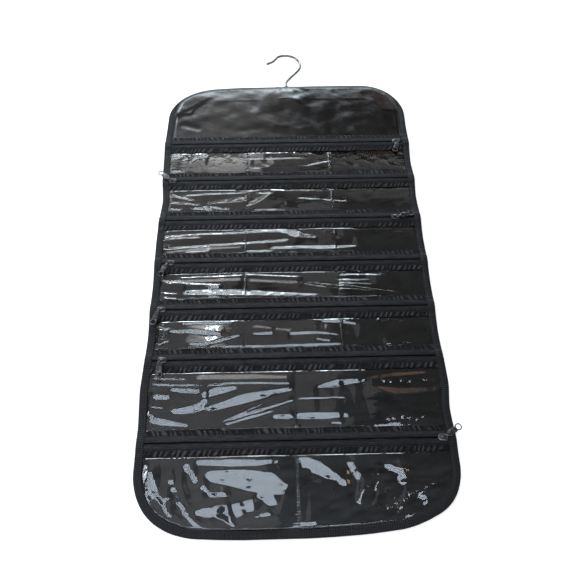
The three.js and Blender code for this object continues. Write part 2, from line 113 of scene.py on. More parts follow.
def hump(distance, wide):
    """A bell: 1 at no distance, falling to about a third at the width."""
    return np.exp(-((distance / wide) ** 2))


def unit(vectors):
    """Vectors brought to length one."""
    return vectors / np.linalg.norm(vectors, axis=-1, keepdims=True)


def blur(field, reach, axis):
    """The field averaged along one axis with weights that fall as a bell over reach samples."""
    span = int(3 * reach) + 1
    bell = np.exp(-0.5 * (np.arange(-span, span + 1) / reach) ** 2)
    bell /= bell.sum()
    pad = [(0, 0)] * field.ndim
    pad[axis] = (span, span)
    wide = np.pad(field, pad, mode="edge")
    out = np.zeros_like(field)
    for i, w in enumerate(bell):
        out += w * np.take(wide, np.arange(i, i + field.shape[axis]), axis=axis)
    return out


def edge_distance(x, y):
    """How far a point is inside the panel's outline, a rectangle with two sizes of rounded corner."""
    corner = np.where(y > 0, TOP_CORNER, FOOT_CORNER)
    over_x = np.abs(x) - (HALF - corner)
    over_y = np.where(y > 0, y - (TOP - corner), (FOOT + corner) - y)
    outside = np.hypot(np.maximum(over_x, 0), np.maximum(over_y, 0))
    return corner - outside - np.minimum(np.maximum(over_x, over_y), 0)


def half_width(y, inset):
    """Half the width between the two sides of the outline, drawn in by inset, at height y."""
    down = np.clip((FOOT + FOOT_CORNER) - y, 0, FOOT_CORNER - inset)
    up = np.clip(y - (TOP - TOP_CORNER), 0, TOP_CORNER - inset)
    foot = HALF - FOOT_CORNER + np.sqrt((FOOT_CORNER - inset) ** 2 - down**2)
    top = HALF - TOP_CORNER + np.sqrt((TOP_CORNER - inset) ** 2 - up**2)
    return np.minimum(foot, top)


def grid_faces(nu, nv):
    """Quads of a grid of nu by nv points."""
    i = np.arange(nu * nv).reshape(nu, nv)
    return np.stack([i[:-1, :-1], i[1:, :-1], i[1:, 1:], i[:-1, 1:]], -1).reshape(-1, 4)


def slab(top, under, uv=None):
    """A closed sheet: the grid top, the grid under turned over, and a rim of quads joining their edges."""
    nu, nv = top.shape[:2]
    n = nu * nv
    i = np.arange(n).reshape(nu, nv)
    quads = grid_faces(nu, nv)
    rim = np.concatenate([i[:-1, 0], i[-1, :-1], i[:0:-1, -1], i[0, :0:-1]])
    after = np.roll(rim, -1)
    sides = np.stack([rim, rim + n, after + n, after], -1)
    points = np.concatenate([top.reshape(-1, 3), under.reshape(-1, 3)])
    faces = [np.concatenate([quads, quads[:, ::-1] + n, sides])]
    return points, faces, None if uv is None else np.concatenate([uv.reshape(-1, 2)] * 2)


def loft(rings, loop=False, uv=None):
    """Closed rings of points joined in order: each end is filled by a fan, or the ends are joined."""
    n, m = rings.shape[:2]
    i = np.arange(n * m).reshape(n, m)
    j = np.roll(i, -1, 1)
    a, b = (i, np.roll(i, -1, 0)) if loop else (i[:-1], i[1:])
    c, d = (j, np.roll(j, -1, 0)) if loop else (j[:-1], j[1:])
    quads = np.stack([a, c, d, b], -1).reshape(-1, 4)
    points = rings.reshape(-1, 3)
    if loop:
        return points, [quads], uv
    points = np.concatenate([points, rings[0].mean(0)[None], rings[-1].mean(0)[None]])
    first = np.stack([j[0], i[0], np.full(m, n * m)], -1)
    last = np.stack([i[-1], j[-1], np.full(m, n * m + 1)], -1)
    return points, [quads, first, last], None


def plate(outline, heights, insets):
    """An outline carried up through heights, drawn in along its own normals by the inset at each height."""
    ahead, behind = np.roll(outline, -1, 0), np.roll(outline, 1, 0)
    along = unit(ahead - behind)
    inward = np.stack([-along[:, 1], along[:, 0]], -1)
    flat = outline[None] + np.asarray(insets)[:, None, None] * inward[None]
    tall = np.broadcast_to(np.asarray(heights, float)[:, None, None], flat.shape[:2] + (1,))
    return loft(np.concatenate([flat, tall], -1))


def tube(path, radius, sides=16):
    """A round tube: a circle of the given radius at each point of a path, square to it, with shut ends."""
    along = unit(np.gradient(path, axis=0))
    side = unit(np.cross(along, OUTWARD))
    up = np.cross(side, along)
    turn = np.linspace(0, 2 * np.pi, sides, endpoint=False)
    reach = np.broadcast_to(np.asarray(radius, float), (len(path),))[:, None, None]
    around = np.cos(turn)[None, :, None] * side[:, None] + np.sin(turn)[None, :, None] * up[:, None]
    return loft(path[:, None] + reach * around)


def stitches(start, ahead, up, length, thick, lift=0.25):
    """Thread stitches: at each start a six-sided strand runs ahead for its length, rising in a half sine
    and thinning to both ends; the same strand is placed by every start's three directions."""
    ahead, up = np.broadcast_to(ahead, start.shape), np.broadcast_to(up, start.shape)
    t = np.array([0.0, 0.14, 0.5, 0.86, 1.0])
    fat = thick * np.array([0.45, 0.9, 1.0, 0.9, 0.45])
    turn = np.linspace(0, 2 * np.pi, 6, endpoint=False)
    side = np.cross(up, ahead)
    along = (t * length)[:, None] + 0 * turn[None]
    out = fat[:, None] * np.cos(turn)[None]
    high = (lift * np.sin(np.pi * t))[:, None] + fat[:, None] * np.sin(turn)[None]
    rings = (
        start[:, None, None]
        + along[None, :, :, None] * ahead[:, None, None]
        + out[None, :, :, None] * side[:, None, None]
        + high[None, :, :, None] * up[:, None, None]
    )
    strand, faces, _ = loft(rings[0])
    quads, first, last = faces
    count, per = len(start), len(strand)
    ends = np.stack([rings[:, 0].mean(1), rings[:, -1].mean(1)], 1)
    points = np.concatenate([rings.reshape(count, -1, 3), ends], 1).reshape(-1, 3)
    shift = (np.arange(count) * per)[:, None, None]
    spread = [(f[None] + shift).reshape(-1, f.shape[1]) for f in (quads, first, last)]
    return points, spread, None


# How far the soft edge wanders out (or in, below zero) at heights up the panel, left and right.
WANDER_Y = [
    -300, -254, -226, -206, -190, -163, -140, -128, -95, -61, -28,
    6, 40, 73, 108, 140, 172, 207, 240, 262, 300,
]
WANDER_LEFT = [
    0, 0.6, 0.4, 0.2, 1.0, 2.4, 1.2, 0.1, -1.1, 0.0, -0.9,
    0.0, 0.5, -0.2, -3.0, 0.0, 0.9, 1.8, 0.6, 0, 0,
]
WANDER_RIGHT = [
    0, 0.3, 0.4, -0.6, -1.4, 2.0, 1.3, 0.2, -0.9, 0.0, -0.7,
    0.0, -0.9, 0.0, -1.8, 0.1, -1.7, 0.2, -0.4, 0, 0,
]

# How far the top and foot edges lie above or below straight, across the panel.
TOP_X = [-160, -140, -122, -104, -85, -66, -40, 0, 40, 171]
TOP_SHIFT = [-5.5, -6.0, -5.6, -3.6, -2.2, -1.3, -1.2, -0.5, 0.3, 0]
FOOT_X = [-160, -140, -120, -105, -80, -55, 10, 35, 60, 75, 88, 100, 113, 125, 138, 150, 165]
FOOT_SHIFT = [-1.5, 0.3, 1.2, 0.8, -0.6, -1.3, -1.1, -0.3, 1.0, 2.2, 3.6, 5.0, 6.5, 7.4, 6.9, 4.6, 1.7]


def settle(points):
    """The panel as it lies: points near either side shift out or in by that side's wander at their height,
    by a share that eases from nothing at TRUE_HALF from the middle to all of it at the edge; points near the
    top and the foot shift up or down in the same way."""
    x, y = points[:, 0], points[:, 1]
    heights = np.arange(-330, 331.0)
    left, right = (blur(np.interp(heights, WANDER_Y, w), 4.5, 0) for w in (WANDER_LEFT, WANDER_RIGHT))
    shift = np.where(x < 0, -np.interp(y, heights, left), np.interp(y, heights, right))
    moved = points.copy()
    moved[:, 0] += shift * ease(np.abs(x), TRUE_HALF, HALF)
    moved[:, 1] += np.interp(x, TOP_X, TOP_SHIFT) * ease(y, TOP - 90, TOP - 8)
    moved[:, 1] += np.interp(x, FOOT_X, FOOT_SHIFT) * (1 - ease(y, FOOT + 8, FOOT + 80))
    return moved


def volume(points, faces):
    """The signed volume inside closed faces, each cut into triangles from its first corner."""
    total = 0.0
    for f in faces:
        p = points[f]
        for i in range(1, f.shape[1] - 1):
            total += float((p[:, 0] * np.cross(p[:, i], p[:, i + 1])).sum())
    return total


def put(name, data):
    """An object in the scene that shows a mesh, a light or a camera."""
    obj = bpy.data.objects.new(name, data)
    bpy.context.scene.collection.objects.link(obj)
    return obj


def make(name, parts, material, body, nodes=()):
    """One mesh object from closed parts in millimetres, each turned outwards, riding on a body."""
    points, corners, sizes, uvs, start = [], [], [], [], 0
    for p, faces, uv in parts:
        p = settle(np.asarray(p, float)) if body == "panel" else np.asarray(p, float)
        turn = -1 if volume(p - p.mean(0), faces) < 0 else 1
        for f in faces:
            corners.append((f[:, ::turn] + start).ravel())
            sizes.append(np.full(len(f), f.shape[1]))
        points.append(p)
        uvs.append(np.zeros((len(p), 2)) if uv is None else uv)
        start += len(p)
    points, corners, sizes = (np.concatenate(a) for a in (points, corners, sizes))
    uvs = np.concatenate(uvs)
    mesh = bpy.data.meshes.new(name)
    mesh.vertices.add(len(points))
    mesh.vertices.foreach_set("co", (points * MM).astype(np.float32).ravel())
    mesh.loops.add(len(corners))
    mesh.loops.foreach_set("vertex_index", corners.astype(np.int32))
    mesh.polygons.add(len(sizes))
    mesh.polygons.foreach_set("loop_start", (np.cumsum(sizes) - sizes).astype(np.int32))
    mesh.update(calc_edges=True)
    mesh.polygons.foreach_set("use_smooth", np.ones(len(sizes), bool))
    layer = mesh.uv_layers.new(name="cloth")
    layer.data.foreach_set("uv", (uvs[corners] * MM).astype(np.float32).ravel())
    mesh.validate()
    mesh.materials.append(material)
    obj = put(name, mesh)
    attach(obj, body)
    if nodes:
        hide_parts(*nodes)
    return obj


# Finishes


class Finish:
    """A material with a Principled shader, and short ways to add the nodes that feed it."""

    def __init__(self, name, colour, rough, metal=0.0):
        self.material = bpy.data.materials.new(name)
        self.material.use_nodes = True
        self.tree = self.material.node_tree
        self.shader = self.tree.nodes["Principled BSDF"]
        self.set({"Base Color": (*colour, 1), "Roughness": rough, "Metallic": metal})

    def set(self, values):
        """Sets the shader's inputs by name."""
        for key, value in values.items():
            self.shader.inputs[key].default_value = value

    def node(self, kind, links=(), **settings):
        """A node with its settings, and inputs linked or set by name."""
        made = self.tree.nodes.new(kind)
        for key, value in settings.items():
            setattr(made, key, value)
        for key, value in dict(links).items():
            if isinstance(value, bpy.types.NodeSocket):
                self.tree.links.new(value, made.inputs[key])
            else:
                made.inputs[key].default_value = value
        return made

    def place(self, size=(1, 1, 1), turn=(0, 0, 0), uv=False):
        """Object coordinates, or the piece's own cloth coordinates, scaled and turned."""
        where = self.node("ShaderNodeTexCoord").outputs["UV" if uv else "Object"]
        spot = self.node("ShaderNodeMapping", {"Vector": where, "Scale": size, "Rotation": turn})
        return spot.outputs["Vector"]

    def noise(self, where, scale, detail=3.0, rough=0.55):
        return self.node(
            "ShaderNodeTexNoise",
            {"Vector": where, "Scale": scale, "Detail": detail, "Roughness": rough},
        ).outputs["Fac"]

    def lines(self, where, pitch, way="X", wobble=0.0, wobble_scale=1.0):
        """Sine bands one pitch apart along an axis, in metres."""
        return self.node(
            "ShaderNodeTexWave",
            {
                "Vector": where,
                "Scale": 0.31416 / pitch,
                "Distortion": wobble,
                "Detail": 1.0,
                "Detail Scale": wobble_scale,
            },
            wave_type="BANDS",
            bands_direction=way,
        ).outputs["Fac"]

    def maths(self, kind, a, b):
        made = self.node("ShaderNodeMath", operation=kind)
        for socket, value in zip(made.inputs, (a, b)):
            if isinstance(value, bpy.types.NodeSocket):
                self.tree.links.new(value, socket)
            else:
                socket.default_value = value
        return made.outputs[0]

    def range(self, value, low, high, start=0.0, end=1.0):
        """Carries start..end onto low..high."""
        return self.node(
            "ShaderNodeMapRange",
            {"Value": value, "From Min": start, "From Max": end, "To Min": low, "To Max": high},
        ).outputs["Result"]

    def blend(self, share, first, second):
        made = self.node("ShaderNodeMix", data_type="RGBA")
        self.tree.links.new(share, made.inputs[0])
        for socket, value in zip(made.inputs[6:8], (first, second)):
            if isinstance(value, bpy.types.NodeSocket):
                self.tree.links.new(value, socket)
            else:
                socket.default_value = (*value, 1)
        return made.outputs[2]

    def colour(self, socket):
        self.tree.links.new(socket, self.shader.inputs["Base Color"])

    def rough(self, socket):
        self.tree.links.new(socket, self.shader.inputs["Roughness"])

    def bump(self, height, depth, strength=1.0):
        """A bump of the given depth in metres, stacked on the last one."""
        last = self.shader.inputs["Normal"].links
        made = self.node("ShaderNodeBump", {"Height": height, "Distance": depth, "Strength": strength})
        if last:
            self.tree.links.new(last[0].from_socket, made.inputs["Normal"])
        self.tree.links.new(made.outputs["Normal"], self.shader.inputs["Normal"])


def nylon_cloth(name, dark, light, rough, gloss=0.45, relief=1.0, dull_rim=False):
    """Black nylon: a plain weave of crossing threads, a slubby grain, patches of duller and shinier cloth,
    and, where asked, a rim dulled by its sewing, which the piece's own map marks."""
    f = Finish(name, dark, rough)
    where = f.place()
    warp = f.lines(where, 0.00085, "X", 0.6, 3.0)
    weft = f.lines(where, 0.00085, "Y", 0.6, 3.0)
    weave = f.maths("MULTIPLY", warp, weft)
    grain = f.noise(where, 480, 3.0)
    patch = f.noise(where, 30, 4.0)
    tone = f.maths("ADD", f.maths("MULTIPLY", patch, 0.6), f.maths("MULTIPLY", grain, 0.4))
    f.colour(f.blend(f.range(tone, 0, 1, 0.3, 0.7), dark, light))
    polish = f.range(f.noise(where, 60, 3.0), rough - 0.07, rough + 0.1, 0.3, 0.7)
    if dull_rim:
        rubbed = f.node("ShaderNodeSeparateXYZ", {"Vector": f.place(uv=True)}).outputs["Y"]
        polish = f.maths("MAXIMUM", polish, f.maths("MULTIPLY", rubbed, 0.62))
    f.rough(polish)
    f.bump(weave, 0.00008 * relief, 0.7)
    f.bump(grain, 0.00012 * relief, 0.6)
    f.set({"Specular IOR Level": gloss, "Sheen Weight": 0.01, "Sheen Roughness": 0.4})
    return f.material


def grosgrain():
    """Binding tape: cross ribs along its length, with the rib tops painted lighter and their valleys darker,
    a painted highlight and shade, broken up by a random grain.
    """
    f = Finish("binding_grosgrain", (0.016, 0.016, 0.017), 0.5)
    where = f.place(uv=True)
    ribs = f.lines(where, 0.0024, "X", 0.8, 2.0)
    grain = f.noise(f.place(), 700, 3.0)
    rib_shade_and_grain = f.maths("MULTIPLY", ribs, grain)
    # rib tops painted lighter and valleys darker: painted highlight and shade, mixed with random grain
    f.colour(f.blend(f.range(rib_shade_and_grain, 0, 1, 0.1, 0.7), (0.003, 0.003, 0.0034), (0.034, 0.034, 0.040)))
    f.rough(f.range(f.noise(f.place(), 45, 3.0), 0.42, 0.6, 0.3, 0.7))
    f.bump(ribs, 0.00022, 0.8)
    f.bump(grain, 0.0001, 0.5)
    f.set({"Specular IOR Level": 0.22, "Sheen Weight": 0.01})
    return f.material


def zip_tape_cloth():
    """Zip tape: fine lengthwise cords with painted shade in their valleys, the painted light and shade that
    the tape's map carries, a random grain, and a dull sheen.
    """
    f = Finish("zip_tape_weave", (0.013, 0.013, 0.014), 0.45)
    cloth = f.place(uv=True)
    tone_and_painted_light = f.node("ShaderNodeSeparateXYZ", {"Vector": cloth}).outputs["Y"]
    cords = f.lines(cloth, 0.0017, "X", 0.5, 1.0)
    grain = f.noise(f.place(), 620, 2.0)
    # the cords' valleys are painted darker, a painted shade; the map brings the tape's painted light and
    # shade, which also sets its roughness
    tone = f.maths("MULTIPLY", tone_and_painted_light, f.range(cords, 0.5, 1.15))
    tone = f.maths("MULTIPLY", tone, f.range(grain, 0.45, 1.4, 0.3, 0.7))
    f.colour(f.blend(tone, (0.003, 0.003, 0.0036), (0.078, 0.0770, 0.088)))
    f.rough(f.range(tone_and_painted_light, 0.62, 0.4))
    f.bump(cords, 0.00022, 0.7)
    f.bump(grain, 0.00008, 0.5)
    f.set({"Specular IOR Level": 0.17, "Sheen Weight": 0.01})
    return f.material


def coil_nylon():
    """Moulded nylon coil: black with a duller grain in it."""
    f = Finish("coil_nylon", (0.012, 0.012, 0.013), 0.4)
    grain = f.noise(f.place(), 420, 3.0)
    f.colour(f.blend(grain, (0.003, 0.003, 0.003), (0.009, 0.009, 0.010)))
    f.rough(f.range(grain, 0.3, 0.5, 0.3, 0.7))
    f.bump(grain, 0.00005, 0.5)
    return f.material


def sewing_thread(name, dark, light, rough):
    """Black polyester thread: a fine twist across each stitch and paler fuzz."""
    f = Finish(name, dark, rough)
    twist = f.lines(f.place(turn=(0, 0, math.radians(30))), 0.0005, "X", 0.4, 1.0)
    fuzz = f.noise(f.place(), 1200, 2.0)
    f.colour(f.blend(fuzz, dark, light))
    f.rough(f.range(fuzz, rough - 0.1, rough + 0.1, 0.3, 0.7))
    f.bump(twist, 0.00012, 0.8)
    return f.material


def clear_vinyl():
    """Clear film: a thin gloss that grows at a slant, with small ripples and a faint grey haze."""
    material = bpy.data.materials.new("clear_vinyl_film")
    material.use_nodes = True
    tree = material.node_tree
    tree.nodes.clear()
    add = tree.nodes.new
    where = add("ShaderNodeTexCoord")
    ripples = add("ShaderNodeTexNoise")
    ripples.inputs["Scale"].default_value = 95
    ripples.inputs["Detail"].default_value = 2.0
    tree.links.new(where.outputs["Object"], ripples.inputs["Vector"])
    bump = add("ShaderNodeBump")
    bump.inputs["Strength"].default_value = 0.3
    bump.inputs["Distance"].default_value = 0.00025
    tree.links.new(ripples.outputs["Fac"], bump.inputs["Height"])
    clear = add("ShaderNodeBsdfTransparent")
    clear.inputs["Color"].default_value = (0.955, 0.96, 0.962, 1)
    gloss = add("ShaderNodeBsdfGlossy")
    gloss.inputs["Color"].default_value = (1, 1, 1, 1)
    gloss.inputs["Roughness"].default_value = 0.055
    tree.links.new(bump.outputs["Normal"], gloss.inputs["Normal"])
    edge = add("ShaderNodeFresnel")
    edge.inputs["IOR"].default_value = 1.46
    tree.links.new(bump.outputs["Normal"], edge.inputs["Normal"])
    mix = add("ShaderNodeMixShader")
    tree.links.new(edge.outputs["Fac"], mix.inputs[0])
    tree.links.new(clear.outputs["BSDF"], mix.inputs[1])
    tree.links.new(gloss.outputs["BSDF"], mix.inputs[2])
    out = add("ShaderNodeOutputMaterial")
    tree.links.new(mix.outputs["Shader"], out.inputs["Surface"])
    return material


def black_plating():
    """Black-nickel plate: dark mirror metal with rubbed paler spots and fine scratches."""
    f = Finish("black_plating", (0.10, 0.10, 0.105), 0.24, 1.0)
    where = f.place()
    rub = f.noise(where, 240, 4.0, 0.6)
    scratch = f.noise(f.place((1, 9, 1)), 500, 3.0)
    f.colour(f.blend(f.range(rub, 0, 1, 0.45, 0.75), (0.08, 0.08, 0.083), (0.30, 0.30, 0.305)))
    f.rough(f.range(scratch, 0.22, 0.40, 0.3, 0.7))
    f.bump(scratch, 0.00003, 0.4)
    return f.material


def plated_wire():
    """Bright plated steel: long drawing marks and a slightly uneven polish."""
    f = Finish("bright_wire", (0.30, 0.30, 0.30), 0.16, 1.0)
    where = f.place((1, 0.15, 1))
    draw = f.noise(where, 900, 3.0)
    dull = f.noise(f.place(), 120, 4.0)
    f.colour(f.blend(dull, (0.13, 0.13, 0.13), (0.30, 0.30, 0.295)))
    f.rough(f.range(dull, 0.10, 0.26, 0.3, 0.7))
    f.bump(draw, 0.00003, 0.4)
    return f.material


def hanger_plastic():
    """Grey moulded plastic: a fine sparked grain and a cloudy tone."""
    f = Finish("hanger_plastic", (0.10, 0.10, 0.105), 0.5)
    grain = f.noise(f.place(), 1500, 2.0)
    cloud = f.noise(f.place(), 40, 3.0)
    f.colour(f.blend(cloud, (0.085, 0.085, 0.09), (0.12, 0.12, 0.125)))
    f.rough(f.range(grain, 0.42, 0.6, 0.3, 0.7))
    f.bump(grain, 0.00005, 0.6)
    return f.material


CLOTH = nylon_cloth("panel_nylon", (0.002, 0.002, 0.0021), (0.016, 0.016, 0.0165), 0.34, 0.35)
YOKE_CLOTH = nylon_cloth(
    "yoke_nylon", (0.0015, 0.0015, 0.0019), (0.004, 0.0041, 0.005), 0.15,
    gloss=0.75, relief=0.3, dull_rim=True,
)
GROSGRAIN = grosgrain()
TAPE = zip_tape_cloth()
COIL = coil_nylon()
THREAD = sewing_thread("sewing_thread", (0.012, 0.012, 0.013), (0.05, 0.05, 0.052), 0.45)
# The seam thread is black thread painted darker than the other thread, standing in for the shade along the
# dividing seams.
SEAM_THREAD = sewing_thread("seam_thread", (0.002, 0.002, 0.002), (0.006, 0.006, 0.006), 0.65)
VINYL = clear_vinyl()
PLATING = black_plating()
WIRE = plated_wire()
PLASTIC = hanger_plastic()


# Back panel


def back_cloth():
    """The cloth back: a grid as wide as the outline at each height, its two faces a little wavy, drawn in
    by a shallow groove along every seam that passes through it."""
    v = np.linspace(0, 1, 250)
    y = (FOOT + 0.9) + (TOP - FOOT - 1.8) * (0.5 - 0.5 * np.cos(np.pi * v)) * 0.35
    y += (TOP - FOOT - 1.8) * v * 0.65
    u = np.linspace(-1, 1, 136)
    x = u[:, None] * half_width(y, 0.9)[None]
    y = np.broadcast_to(y, x.shape)
    inner = ease(edge_distance(x, y), 9.0, 14.0)
    groove = np.zeros_like(x)
    for k in ROWS:
        for off in (-TAPE_HEM, -TAPE_STITCH, TAPE_STITCH, TAPE_HEM):
            groove += hump(y - ZIP[k] - off, 0.9)
    low = np.where(edge_distance(x, y) < BOUND, 0.8, 0.12)
    waves = ripple(x, y, 60, 26, 3) * inner
    slants = 0.16 * ripple(x + 0.7 * y, y - 0.7 * x, 70, 14, 4) * inner
    front = CLOTH_TOP - 0.15 + np.clip(0.22 * waves + slants, -0.7, 0.3) - 0.12 * groove * inner
    rear = low + inner * (0.18 + 0.08 * np.abs(waves) + 0.22 * groove)
    return slab(np.stack([x, y, front], -1), np.stack([x, y, np.minimum(rear, front - 0.5)], -1))


back = make("back_cloth", [back_cloth()], CLOTH, "panel", ["back_panel"])


# Edge binding


def outline_path(step=1.5):
    """Points round the panel's edge with their inward directions and the distance along it: four straights
    and four quarter circles, clockwise from the left end of the top edge."""
    runs = [
        ("line", (-HALF + TOP_CORNER, TOP), (HALF - TOP_CORNER, TOP)),
        ("arc", (HALF - TOP_CORNER, TOP - TOP_CORNER), TOP_CORNER, 90, 0),
        ("line", (HALF, TOP - TOP_CORNER), (HALF, FOOT + FOOT_CORNER)),
        ("arc", (HALF - FOOT_CORNER, FOOT + FOOT_CORNER), FOOT_CORNER, 0, -90),
        ("line", (HALF - FOOT_CORNER, FOOT), (-HALF + FOOT_CORNER, FOOT)),
        ("arc", (-HALF + FOOT_CORNER, FOOT + FOOT_CORNER), FOOT_CORNER, -90, -180),
        ("line", (-HALF, FOOT + FOOT_CORNER), (-HALF, TOP - TOP_CORNER)),
        ("arc", (-HALF + TOP_CORNER, TOP - TOP_CORNER), TOP_CORNER, 180, 90),
    ]
    spots, inward = [], []
    for run in runs:
        if run[0] == "line":
            a, b = np.array(run[1]), np.array(run[2])
            count = max(2, round(float(np.linalg.norm(b - a)) / step))
            t = np.arange(count)[:, None] / count
            spots.append(a + t * (b - a))
            way = unit(b - a)
            inward.append(np.broadcast_to([way[1], -way[0]], (count, 2)))
        else:
            count = round(run[2] * math.pi / 2 / step)
            turn = np.radians(run[3] + (run[4] - run[3]) * np.arange(count) / count)
            ray = np.stack([np.cos(turn), np.sin(turn)], -1)
            spots.append(np.array(run[1]) + run[2] * ray)
            inward.append(-ray)
    spots, inward = np.concatenate(spots), np.concatenate(inward)
    gaps = np.linalg.norm(np.roll(spots, -1, 0) - spots, axis=1)
    return spots, inward, np.cumsum(gaps) - gaps


def front_leg(x, y):
    """How wide the binding shows on the front: narrow along the top, easing to full down the corners."""
    turn = np.degrees(np.arctan2(y - (TOP - TOP_CORNER), np.abs(x) - (HALF - TOP_CORNER)))
    on_top = (y > TOP - TOP_CORNER) & (np.abs(x) <= HALF - TOP_CORNER)
    on_corner = (y > TOP - TOP_CORNER) & (np.abs(x) > HALF - TOP_CORNER)
    width = np.where(on_corner, TOP_LEG + (LEG - TOP_LEG) * (1 - ease(turn, 0, 45)), LEG)
    return np.where(on_top, TOP_LEG, width)


def layer_height(y):
    """The height of what lies under the binding's front leg on a side: sheets, and zip tapes over them."""
    height = np.full_like(y, SHEET_TOP + 0.2)
    for k in ROWS:
        off = np.abs(y - ZIP[k])
        tape = np.interp(off, [0, 4.7, 9.5, 14.5, 15.7], [5.1, 5.1, 3.1, 3.1, 2.4])
        height = np.where(off < 15.7, np.maximum(height, tape), height)
    return height


SPOTS, INWARD, ALONG = outline_path()
LEGS = front_leg(SPOTS[:, 0], SPOTS[:, 1])


def loop_blur(values, reach):
    """A bell-weighted average round a closed loop."""
    return blur(np.concatenate([values, values, values]), reach, 0)[len(values) : 2 * len(values)]


def binding():
    """A folded tape carried round the outline: its profile runs along the back, round the fold and over the
    front to the inner edge, then returns half a millimetre inside; humps over the zips, a groove at its
    stitching and small puckers that grow round the corners."""
    on_side = np.abs(SPOTS[:, 0]) > HALF - 1
    side = loop_blur(np.where(on_side, layer_height(SPOTS[:, 1]), SHEET_TOP + 0.2), 0.9)
    legs = loop_blur(LEGS, 2.0)
    high = side + 0.6
    bow = FOOT_CORNER - 1
    bend = np.where((np.abs(SPOTS[:, 0]) > HALF - bow) & (SPOTS[:, 1] < FOOT + bow), 1.0, 0.35)
    bend = loop_blur(bend, 6)
    pucker = bend * (
        np.sin(2 * np.pi * ALONG / 8.3 + 1.7 * ripple(ALONG, 0 * ALONG, 60, 1, 5)) * 0.5
        + 0.5 * ripple(ALONG, 0 * ALONG, 13, 1, 6)
    )
    n_out = [9.0, 6.5, 4.0, 1.5, 0.75, 0.22, 0.0, 0.22, 0.75, 1.5]
    z_out = [0.0, 0.0, 0.0, 0.0, 0.06, 0.28, 0.5, 0.74, 0.95, 1.0]
    share = np.array([0.32, 0.5, 0.68, 0.76, 0.80, 0.84, 0.92, 1.0])
    lift = np.array([0.10, 0.16, 0.10, 0.0, -0.16, 0.0, 0.08, -0.02])
    wave = np.array([0.4, 0.8, 0.5, 0.15, 0.0, 0.2, 0.9, 1.0])
    n = np.concatenate([np.broadcast_to(n_out, (len(legs), 10)), legs[:, None] * share], 1)
    z = np.concatenate(
        [high[:, None] * np.array(z_out), high[:, None] + lift + 0.16 * wave * pucker[:, None]], 1
    )
    z[:, :4] += 0.05
    n[:, -1] += 0.3 * pucker
    back_n = [1.6, 1.05, 0.75, 1.05, 1.6, 4.0, 9.0]
    back_z = [0.86, 0.72, 0.5, 0.3, 0.16, 0.16, 0.16]
    inner = legs[:, None] * np.array([1.0, 0.7])
    n = np.concatenate([n, inner, np.broadcast_to(back_n, (len(legs), len(back_n)))], 1)
    z = np.concatenate([z, np.repeat(high[:, None] - 0.5, 2, 1), high[:, None] * np.array(back_z)], 1)
    z[:, -3:] = 0.55
    flat = SPOTS[:, None] + n[:, :, None] * INWARD[:, None]
    rings = np.concatenate([flat, z[:, :, None]], -1)
    around = np.concatenate([np.linspace(0, 26, 18), np.linspace(26, 0, 9)])
    uv = np.stack([np.broadcast_to(ALONG[:, None], n.shape), np.broadcast_to(around, n.shape)], -1)
    return loft(rings, loop=True, uv=uv.reshape(-1, 2)), high


BINDING, BINDING_TOP = binding()
binding_piece = make("edge_tape", [BINDING], GROSGRAIN, "panel", ["edge_binding"])


def binding_stitches():
    """A row of stitches near the binding's inner edge, on its front and on its back, round the outline."""
    pick = np.arange(0, len(SPOTS) - 1, 2)
    ahead = unit(np.roll(SPOTS, -1, 0)[pick] - SPOTS[pick])
    ahead = np.concatenate([ahead, np.zeros((len(pick), 1))], 1)
    legs = loop_blur(LEGS, 2.0)[pick]
    spot = SPOTS[pick] + (legs * 0.80)[:, None] * INWARD[pick]
    front = np.concatenate([spot, (BINDING_TOP[pick] - 0.02)[:, None]], 1)
    rear = np.concatenate([SPOTS[pick] + 7.2 * INWARD[pick], np.full((len(pick), 1), 0.16)], 1)
    keep = legs > 4
    return [
        stitches(front[keep], ahead[keep], OUTWARD, 2.1, 0.22, 0.2),
        stitches(rear, ahead, [0.0, 0.0, -1.0], 2.1, 0.2, 0.1),
    ]


make("binding_stitching", binding_stitches(), THREAD, "panel")


# Yoke

# Creases of the yoke: start, end, half-width and height (below zero for a hollow).
CREASES = [
    ((-148, 246), (-128, 238), 5.0, -0.72),
    ((-120, 262), (-74, 244), 10.0, 0.25),
    ((-62, 300), (-36, 274), 8.0, -0.37),
    ((-92, 284), (-66, 262), 9.0, -0.30),
    ((-30, 300), (-44, 258), 9.0, 0.35),
    ((-16, 286), (12, 270), 9.0, -0.40),
    ((-38, 246), (20, 232), 8.0, 0.37),
    ((14, 290), (26, 276), 7.0, 0.40),
    ((6, 268), (34, 244), 9.0, 0.47),
    ((62, 300), (84, 280), 7.0, 0.40),
    ((126, 284), (140, 262), 7.0, 0.45),
    ((92, 292), (108, 246), 9.0, -0.30),
    ((40, 262), (86, 240), 9.0, -0.25),
    ((-112, 240), (-60, 230), 7.0, -0.20),
]


def capsule(x, y, a, b, wide_a, wide_b):
    """Distance to a segment divided by a half-width that runs from wide_a to wide_b along it."""
    ax, ay = a
    bx, by = b
    length = (bx - ax) ** 2 + (by - ay) ** 2
    t = np.clip(((x - ax) * (bx - ax) + (y - ay) * (by - ay)) / length, 0, 1)
    return np.hypot(x - ax - t * (bx - ax), y - ay - t * (by - ay)) / (wide_a + t * (wide_b - wide_a))


